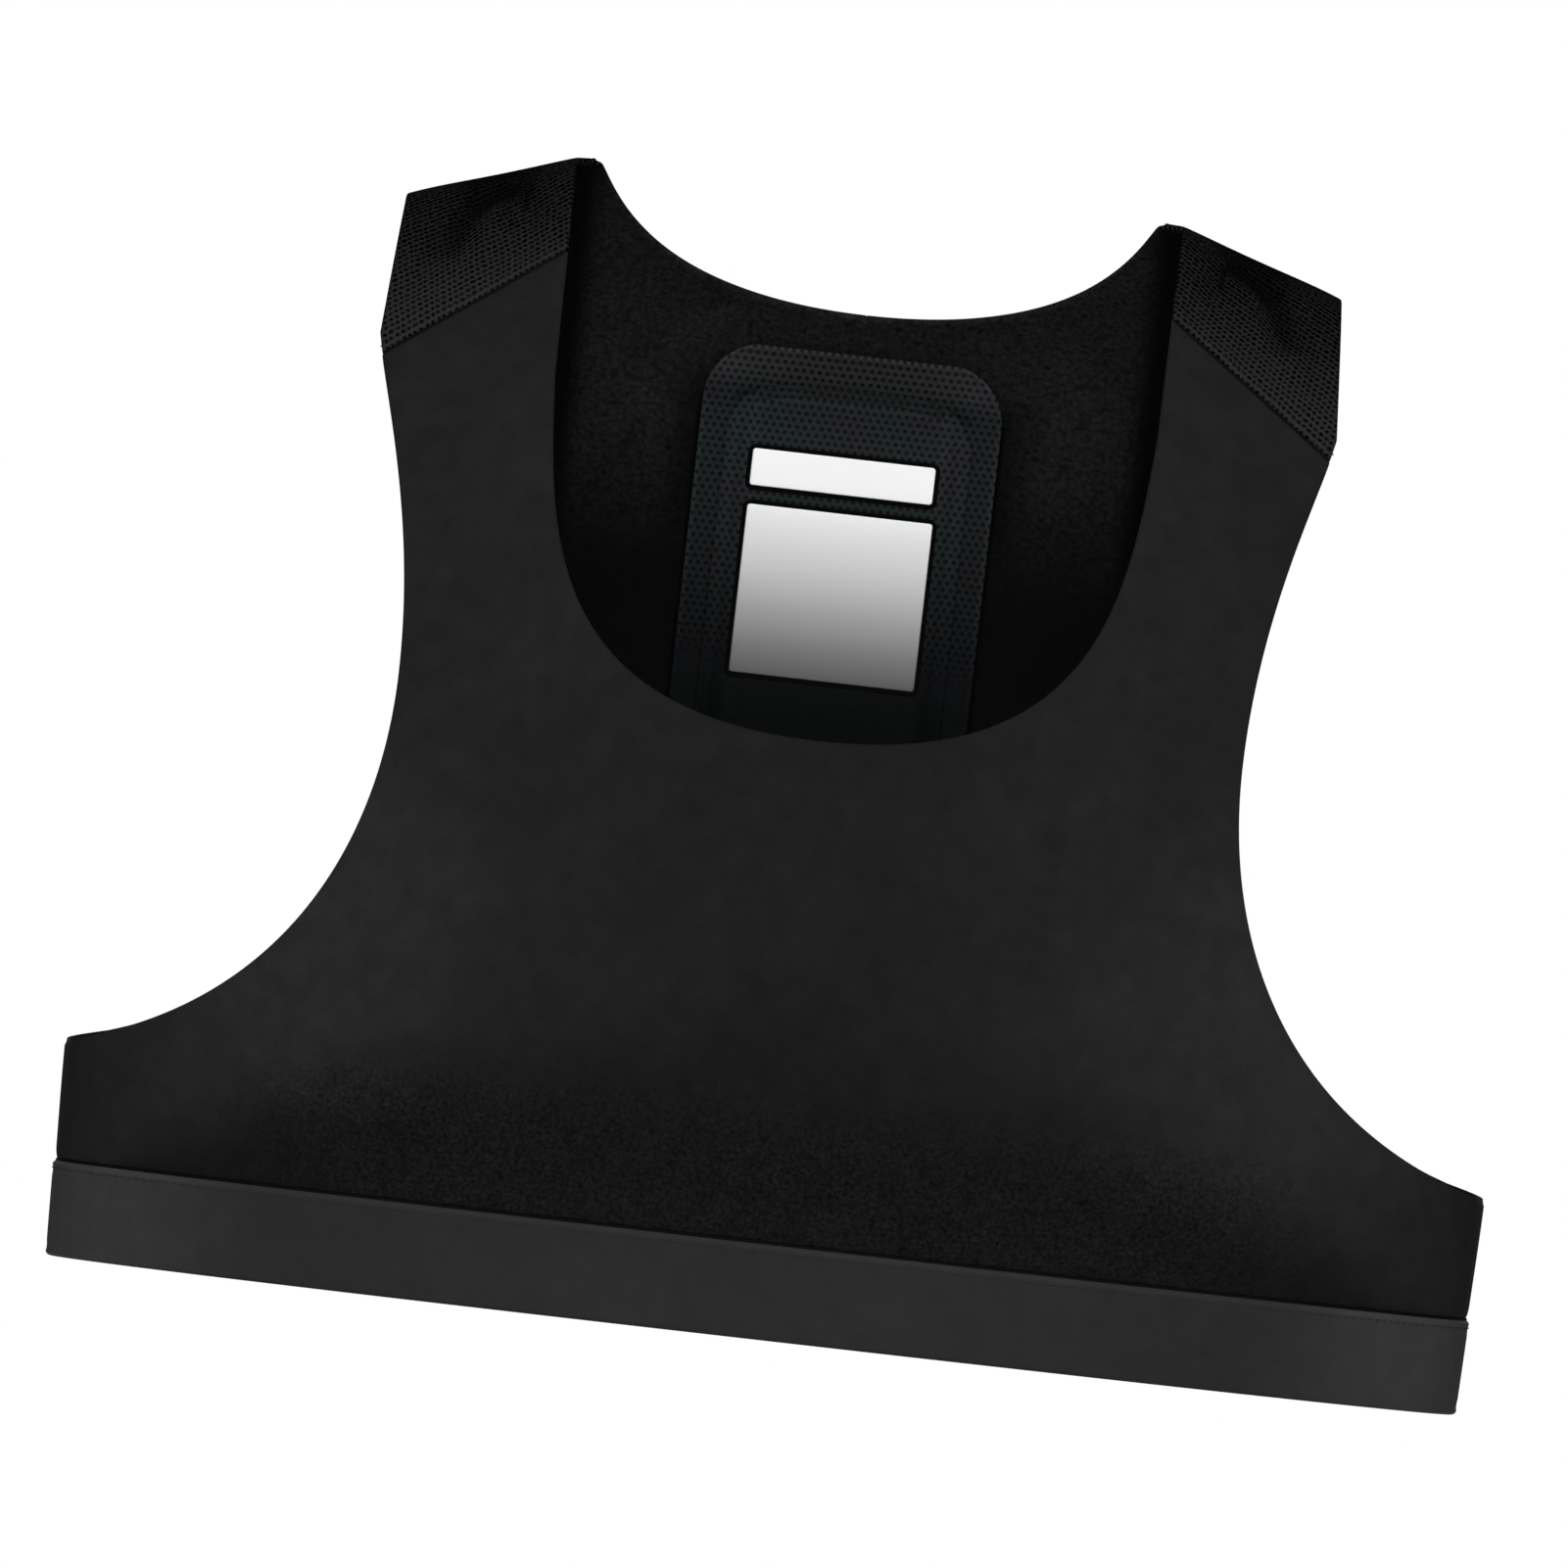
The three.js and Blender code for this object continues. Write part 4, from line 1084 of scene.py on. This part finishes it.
def yoke_patch(lines):
    """A yoke: a Coons patch from the front seam over the shoulder, with creases and rounded edges.

    Its cloth map is x and the length climbed from the seam, less the slanted seam's own fall.
    """
    q, c = stations(YOKE_ROWS, 8), stations(YOKE_COLUMNS, 7) / YOKE_COLUMNS
    crest, last = YOKE_ROWS - 3, YOKE_ROWS
    left = edge_of(q, (lines["corner"], 0, 1), (lines["arm"], 1, crest), (lines["arm_back"], crest, last))
    right = edge_of(q, (lines["neck"], 0, crest), (lines["neck_back"], crest, last))
    form = filled(left, right, sampled(lines["seam"], c), sampled(lines["back"], c), c, q / last)
    places = place_of(form)
    away = {key: distance(places, place_of(lines[key])) for key in lines}
    rise = crease_at(places)
    outer = rise + beads(np.minimum(away["seam"], away["back"]), YOKE_SEAM_RELIEF)
    edge = np.minimum.reduce(list(away.values()))
    outer, inner = rounded(outer, rise - YOKE_THICKNESS, edge)
    steps = np.linalg.norm(np.diff(places, axis=0), axis=-1)
    climb = np.concatenate([0 * steps[:1], np.cumsum(steps, axis=0)])
    weave = np.stack([places[..., 0], climb - YOKE_SLANT * places[..., 0]], -1) * MM
    return {"form": form, "outer": outer, "inner": inner, "weave": weave, "fold": rise}


def band_patches():
    """The elastic band: the form's level outlines from hem to seam, all the way round."""
    heights = stations(BAND_HEIGHT, 1, (0.1, 0.25, 0.5))
    cells = np.linspace(0, 1, BAND_COLUMNS + 1)
    patches = []
    for face in (FRONT, BACK):
        form = np.stack([sampled(trace_level(height, face), cells) for height in heights])
        edge = np.minimum(heights, BAND_HEIGHT - heights)[:, None] + 0 * cells
        outer = BAND_STANDS_PROUD + beads(edge, BAND_EDGE_RELIEF)
        outer, inner = rounded(outer, outer * 0 + BAND_STANDS_PROUD - BAND_THICKNESS, edge)
        form[:, 0, 1] = 0
        form[:, -1, 0] = 0
        form = onto_form_level(form)
        patch = {"form": form, "outer": outer, "inner": inner, "weave": weave_map(form)}
        patches += [patch if face == FRONT else turned(patch)]
    return patches + [mirrored(patch) for patch in patches]


def onto_form_level(form):
    """Form points moved in plan alone until they are on the form."""
    plan = (np.abs(form[..., :2]) ** PLAN_POWER).sum(-1) ** (1 / PLAN_POWER)
    want = (1 - np.abs(form[..., 2]) ** SIDE_POWER) ** (1 / SIDE_POWER)
    out = form.copy()
    out[..., :2] *= (want / plan)[..., None]
    return out


def turned(patch):
    """The same patch with its columns counted from the other end."""
    return {key: value[:, ::-1] for key, value in patch.items()}


def behind(x, height, offset):
    """The form point whose inner skin the front view shows at (x, height), by repeated correction."""
    at_x, at_h = x.copy(), height.copy()
    p = on_face(x, height, BACK)
    for _ in range(CORRECTIONS):
        place = place_of(p)
        place = place + outward_at(place) * offset(place)[..., None]
        at_x, at_h = at_x + x - place[..., 0], at_h + height - place[..., 2]
        p = on_face(at_x, at_h, BACK)
    return p


def layer_patch(
    bottom, top, half, corner, columns, rows, skin, thickness, rise,
    relief=np.zeros_like, crown=0.0, shift=POCKET_SHIFT,
):
    """A layer inside the back: rows of x across a round-cornered outline, put behind the front view.

    rise(place) carries both skins, and relief(edge) raises the visible one by the distance to the
    outline. The top falls by crown towards its corners.
    """
    ends_at = np.array([0.2, 0.5, 1.0])
    even = bottom + (top - bottom) * (1 - np.cos(np.linspace(0, np.pi, rows + 1))) / 2
    height = np.unique(np.concatenate([even, bottom + ends_at, top - ends_at]))
    reach = np.maximum(corner - np.minimum(height - bottom, top - height), 0)
    wide = half - corner + np.sqrt(np.maximum(corner**2 - reach**2, 0))
    rings = ends_at / half
    share = np.unique(np.concatenate([np.linspace(-1, 1, columns + 1), -1 + rings, 1 - rings]))
    x = wide[:, None] * share
    h = height[:, None] + 0 * x
    drop = crown * (np.abs(x) / half) ** POUCH_CROWN_POWER * eased((h - top) / POUCH_CROWN_REACH + 1)
    edge = np.minimum(wide[:, None] * (1 - np.abs(share)), np.minimum(h - bottom, top - h))
    h = h - drop
    form = behind(shift + x, h, lambda place: skin - thickness + rise(place))
    places = place_of(form)
    carried = rise(places)
    outer, inner = rounded(skin + carried, skin - thickness + carried - relief(edge), edge)
    weave = np.stack([x, h], -1) * MM
    return {"form": form, "outer": outer, "inner": inner, "weave": weave}


def pouch_rise(place):
    """The pouch's stand-off: eased ramps from its sides and bottom, a little less at its mouth."""
    side = eased((POUCH_HALF_WIDTH - np.abs(place[..., 0] - POCKET_SHIFT)) / POUCH_RAMP)
    bottom = eased((place[..., 2] - POUCH_BOTTOM) / POUCH_RAMP)
    mouth = eased((place[..., 2] - POUCH_TOP) / POUCH_MOUTH_REACH + 1)
    return -POUCH_DEPTH * side * bottom * (1 - (1 - POUCH_MOUTH_SHARE) * mouth)


def flat(place):
    """No stand-off anywhere."""
    return place[..., 0] * 0


def facing_relief(edge):
    """A bound rim: 0.25 mm at the outline, eased down to nothing over 2 mm."""
    return 0.25 * (1 - eased(edge / 2.0))


def pouch_relief(edge):
    """A groove 0.5 mm deep along the outline, a bell about the line 3.4 mm inside it."""
    return -0.5 * ridge(edge - 3.4, 0.7)


front = front_lines()
back = back_lines()
yoke = yoke_lines()
front_half = panel_patch(front, FRONT_ROWS, FRONT_CENTRE_ROWS, 6)
back_half = panel_patch(back, BACK_ROWS, BACK_CENTRE_ROWS, 5)
yoke_half = yoke_patch(yoke)

front_panel = add_cloth(
    "front_panel_cloth", [front_half, mirrored(front_half)], [KNIT, FRONT_INSIDE], "knit", ["front_panel"]
)
back_panel = add_cloth(
    "back_panel_cloth", [back_half, mirrored(back_half)], [KNIT, BACK_INSIDE], "knit", ["back_panel"]
)
left_yoke = add_cloth("left_yoke_cloth", [yoke_half], [YOKE_MESH], "yoke_mesh", ["left_yoke"])
right_yoke = add_cloth("right_yoke_cloth", [mirrored(yoke_half)], [YOKE_MESH], "yoke_mesh", ["right_yoke"])
underband = add_cloth("underband_elastic", band_patches(), [ELASTIC], "elastic", ["underband"])

facing = add_cloth(
    "pocket_facing_cloth",
    [layer_patch(
        FACING_BOTTOM, FACING_TOP, FACING_HALF_WIDTH, FACING_CORNER, 80, 120, FACING_SKIN,
        FACING_THICKNESS, flat, facing_relief,
    )],
    [FACING_MESH], "pocket_mesh", ["pocket_facing"],
)
pouch = add_cloth(
    "pocket_pouch_cloth",
    [layer_patch(
        POUCH_BOTTOM, POUCH_TOP, POUCH_HALF_WIDTH, POUCH_CORNER, 100, 120, POUCH_SKIN,
        POUCH_THICKNESS, pouch_rise, pouch_relief, POUCH_CROWN,
    )],
    [POUCH_MESH], "pocket_mesh", ["pocket_pouch"],
)

# The labels differ slightly in width, and neither is quite in the pocket's middle
labels = []
for name, (low, high), material, slot_name, half, shift in (
    ("label_strip", LABEL_STRIP, WHITE_PRINT, "white_print", LABEL_HALF_WIDTH + 0.05, POCKET_SHIFT - 0.6),
    ("label_panel", LABEL_PANEL, GREY_PRINT, "grey_print", LABEL_HALF_WIDTH + 0.4, POCKET_SHIFT - 0.15),
):
    rows = max(12, round((high - low) / 1.3))
    for kind, grow, skin, thickness, finish, slot, nodes in (
        ("print", 0, LABEL_SKIN, LABEL_THICKNESS, material, slot_name, [name]),
        # The second layer is a near-black sheet, a painted shadow round the label.
        ("painted_shadow", LABEL_SHADOW_MARGIN, LABEL_SHADOW_SKIN, LABEL_SHADOW_THICKNESS, LABEL_SHADOW, "pocket_mesh", []),
    ):
        layer = layer_patch(
            low - grow, high + grow, half + grow, LABEL_CORNER + grow, 40, rows, skin, thickness,
            pouch_rise, shift=shift,
        )
        labels.append(add_cloth(f"{name}_{kind}", [layer], [finish], slot, nodes))


# Seam tapes on the inside, and the rows of stitches


def directions(place, out):
    """Unit vectors along a line of places, and to its left seen from outside."""
    along = np.gradient(place, axis=0)
    along /= np.linalg.norm(along, axis=1, keepdims=True)
    return along, np.cross(out, along)


def beside(trace, count, off):
    """Form points beside a line, off millimetres to its left seen from outside.

    Each place is moved along the form, across the line's direction, and pushed back onto the form.
    """
    place = place_of(sampled(trace, np.linspace(0, 1, count)))
    side = directions(place, outward_at(place))[1]
    return onto_form(shares_of(place + side * off))


def tape_patch(form, closed=False):
    """A flat tape under a seam, with rounded edges, from its seven lines of form points."""
    run = run_of(place_of(form[:, 3]))
    edge = TAPE_HALF_WIDTH - np.abs(TAPE_ROWS) + 0 * run[:, None]
    if not closed:
        edge = np.minimum(edge, np.minimum(run, run[-1] - run)[:, None])
    outer, inner = rounded(TAPE_OUTER + 0 * edge, TAPE_INNER + 0 * edge, edge)
    weave = np.stack(np.broadcast_arrays(TAPE_ROWS[None], run[:, None]), -1) * MM
    return {"form": form, "outer": outer, "inner": inner, "weave": weave}


def tape_beside(trace, count):
    """A tape's lines beside a seam that crosses the edges squarely."""
    return np.stack([beside(trace, count, off) for off in TAPE_ROWS], 1)


def tape_under_yoke_seam(count):
    """A tape's lines under a yoke's front seam, which end on the neck's and the arm's side of it.

    The seam slants in the front view, so its line is raised and lowered by the tape's row over the
    cosine of its slope.
    """
    slant = math.cos(math.atan(YOKE_SLANT))
    shares = np.linspace(0.05, 0.97, count)
    traces = [trace_face(FRONT, yoke_front_seam(row / slant)) for row in TAPE_ROWS]
    return np.stack([sampled(trace, shares) for trace in traces], 1)


def tube_ring(side, out):
    """Directions round a line at each place: side times the cosine and out times the sine."""
    turn = np.linspace(0, 2 * np.pi, TUBE_SIDES, endpoint=False)[:, None]
    return side[:, None] * np.cos(turn) + out[:, None] * np.sin(turn)


def tube_faces(rings):
    """The faces of a tube of six sides: the wall between its rings, and two that close each end."""
    k, t = np.arange(rings - 1)[:, None] * TUBE_SIDES, np.arange(TUBE_SIDES)
    following = (t + 1) % TUBE_SIDES
    wall = np.stack([k + t, k + following, k + TUBE_SIDES + following, k + TUBE_SIDES + t], -1)
    cap = np.array([[3, 2, 1, 0], [5, 4, 3, 0]])
    return np.concatenate([wall.reshape(-1, 4), cap, cap[:, ::-1] + TUBE_SIDES * (rings - 1)])


def seam_bead(form, lift, radius):
    """A thread that fills a seam's groove: a tube of six sides, lifted from the form."""
    place = place_of(form)
    out = outward_at(place)
    ring = tube_ring(directions(place, out)[1], out)
    points = (place + out * lift)[:, None] + ring * radius
    return points.reshape(-1, 3), tube_faces(len(form))


def stitch_row(trace, off, lift):
    """Stitches beside a line: tubes of six sides and five rings, bent down at both ends.

    Each ring lies at u of the half length, has the radius times sqrt(1 - u^2), and sinks in step with u^2.
    """
    count = int(run_of(place_of(trace))[-1] // STITCH_PITCH)
    place = place_of(beside(trace, count + 1, off))
    out = outward_at(place)[:-1]
    place = place[:-1] * 0.5 + place[1:] * 0.5
    along, side = directions(place, out)
    u = STITCH_RINGS[:, None]
    centre = place[:, None] + along[:, None] * u * STITCH_LENGTH / 2
    centre += out[:, None] * (lift - STITCH_SINK * u**2)
    size = STITCH_RADIUS * np.sqrt(1 - u**2)
    return (centre[:, :, None] + tube_ring(side, out)[:, None] * size[..., None]).reshape(-1, 3)


def add_stitches(name, lines, lift, thread, slot):
    """One piece of all the stitches beside (trace, distance) lines, on both sides of the body."""
    one = tube_faces(len(STITCH_RINGS))
    size = TUBE_SIDES * len(STITCH_RINGS)
    places, faces, base = [], [], 0
    for trace, off in lines:
        points = stitch_row(trace, off, lift)
        starts = np.arange(0, len(points), size)[:, None, None]
        for side in (1, -1):
            places.append(points * (side, 1, 1))
            faces.append((one[:, ::side] + starts + base).reshape(-1, 4))
            base += len(points)
    return add_mesh(name, np.concatenate(places), np.concatenate(faces), [thread], slot)


front_seam = trace_face(FRONT, yoke_front_seam(0))
back_seam = yoke_back_seam(0)
side_height = np.linspace(PANEL_FOOT + 0.6, UNDERARM_HEIGHT - 0.8, 40)
side_seam_line = on_face(half_width_at(side_height), side_height, FRONT)
band_seam_height = PANEL_FOOT - SEAM_GAP / 2

tapes = {
    "yoke_front": tape_under_yoke_seam(60),
    "yoke_back": tape_beside(back_seam[4:-34], 60),
    "side": tape_beside(side_seam_line, 40),
}
for name, form in tapes.items():
    patch = tape_patch(form)
    add_cloth(f"left_{name}_tape", [patch], [TAPE], "knit")
    add_cloth(f"right_{name}_tape", [mirrored(patch)], [TAPE], "knit")
band_tape = np.stack([level_loop(BAND_HEIGHT + row, 361) for row in TAPE_ROWS], 1)
add_cloth("band_tape", [tape_patch(band_tape, closed=True)], [TAPE], "knit")

seam_shares = np.linspace(0.01, 0.99, 60)
for name, trace, lift, radius in (
    ("yoke_front", front_seam, -0.75, 0.5),
    ("yoke_back", back_seam, -0.75, 0.5),
    ("side", side_seam_line, -0.6, 0.42),
):
    places, faces = seam_bead(sampled(trace, seam_shares), lift, radius)
    add_mesh(f"left_{name}_thread", places, faces, [SEAM_THREAD], "knit")
    add_mesh(f"right_{name}_thread", places * (-1, 1, 1), faces, [SEAM_THREAD], "knit")
band_seam = seam_bead(level_loop(band_seam_height, 481), -0.5, 0.42)
add_mesh("band_seam_thread", *band_seam, [SEAM_THREAD], "elastic")

yoke_rows = [(front_seam[4:-4], -2.0), (back_seam[4:-4], 2.0)]
add_stitches("yoke_stitches", yoke_rows, 0.1, YOKE_THREAD, "yoke_mesh")
band_rows = [(trace_level(band_seam_height, face), -2.2 * face) for face in (FRONT, BACK)]
add_stitches("band_stitches", band_rows, BAND_STANDS_PROUD + 0.02, BAND_THREAD, "elastic")

# The floor, the light and the camera. The floor's radius, the lamps and the picture's width are in
# metres, and the floor's drop, the picture's middle and the lens in millimetres.

FLOOR_RADIUS = 1.3
FLOOR_DROP = 300
LAMP_AIM = (0, 0, -0.15)
SURROUND_LIGHT = 0.08
FRAME_WIDTH = 0.4114
LENS, SENSOR = 1000.0, 36.0
PICTURE_TURN = -6.498
PICTURE_MIDDLE = (-7.6, 144.5)


def floor():
    """A round pale floor, about as far below the hem as the vest is high: a disc of straight sides."""
    mesh = bpy.data.meshes.new("studio_floor")
    turn = np.linspace(0, 2 * np.pi, 128, endpoint=False)
    z = (-FLOOR_DROP - shoulder_rest[2]) * MM
    rim = stacked(FLOOR_RADIUS * np.cos(turn), FLOOR_RADIUS * np.sin(turn), z)
    mesh.from_pydata(rim.tolist(), [], [list(range(len(rim)))])
    finish = Finish("studio_floor", roughness=0.9, base_color=tone(235))
    mesh.materials.append(finish.material)
    add_object("studio_floor", mesh)


def lamp(name, place, size, watts):
    """A square soft light that faces the middle of the vest."""
    data = bpy.data.lights.new(name, "AREA")
    data.shape, data.size, data.energy = "SQUARE", size, watts
    made = add_object(name, data)
    made.rotation_euler = (Vector(LAMP_AIM) - Vector(place)).to_track_quat("-Z", "Y").to_euler()
    made.location = place
    made.visible_camera = False


floor()
lamp("front_softbox", (0, -2.3, 1.05), 1.5, 62)
lamp("left_softbox", (-2.1, -1.7, 0.3), 1.2, 11)
lamp("right_softbox", (2.1, -1.7, 0.3), 1.2, 11)
lamp("top_softbox", (0, 0.3, 2.4), 1.6, 8)
lamp("back_softbox", (0, 2.4, 1.0), 1.6, 46)

# The surround is white to the camera and lights the vest only a little
world = bpy.data.worlds.new("studio")
bpy.context.scene.world = world
world.use_nodes = True
tree = world.node_tree
background = tree.nodes["Background"]
background.inputs["Color"].default_value = (1, 1, 1, 1)
seen_by = tree.nodes.new("ShaderNodeLightPath")
level = tree.nodes.new("ShaderNodeMapRange")
level.inputs["To Min"].default_value = SURROUND_LIGHT
level.inputs["To Max"].default_value = 1.0
tree.links.new(seen_by.outputs["Is Camera Ray"], level.inputs["Value"])
tree.links.new(level.outputs["Result"], background.inputs["Strength"])

camera_data = bpy.data.cameras.new("camera")
camera_data.lens, camera_data.sensor_width = LENS, SENSOR
camera_data.clip_start, camera_data.clip_end = 1.0, 100.0
camera = add_object("camera", camera_data)
bpy.context.scene.camera = camera
middle = (np.array([PICTURE_MIDDLE[0], 0, PICTURE_MIDDLE[1]]) - shoulder_rest) * MM
middle[1] -= FRAME_WIDTH * LENS / SENSOR
camera.matrix_world = (
    Matrix.Translation(middle)
    @ Matrix.Rotation(math.radians(PICTURE_TURN), 4, "Y")
    @ Matrix.Rotation(math.radians(90), 4, "X")
)
bpy.context.scene.view_settings.view_transform = "Standard"

# The cloths as they were cut: flat width and length in metres, and the cut's area in square metres
PANELS = ["front_panel_cloth", "back_panel_cloth"]
ROUND_PANELS = ["underband_elastic", "left_yoke_cloth", "right_yoke_cloth"]
for piece, flat_size, area, rests_on in (
    (front_panel, (0.41, 0.245), 0.0500, ROUND_PANELS),
    (back_panel, (0.40, 0.275), 0.0650, ROUND_PANELS),
    (left_yoke, (0.052, 0.075), 0.0032, PANELS),
    (right_yoke, (0.052, 0.075), 0.0032, PANELS),
    (underband, (0.90, 0.025), None, PANELS),
    (facing, (0.0794, 0.122), None, ["back_panel_cloth"]),
    (pouch, (0.074, 0.111), None, ["pocket_facing_cloth"]),
):
    on_it = labels if piece == pouch else []
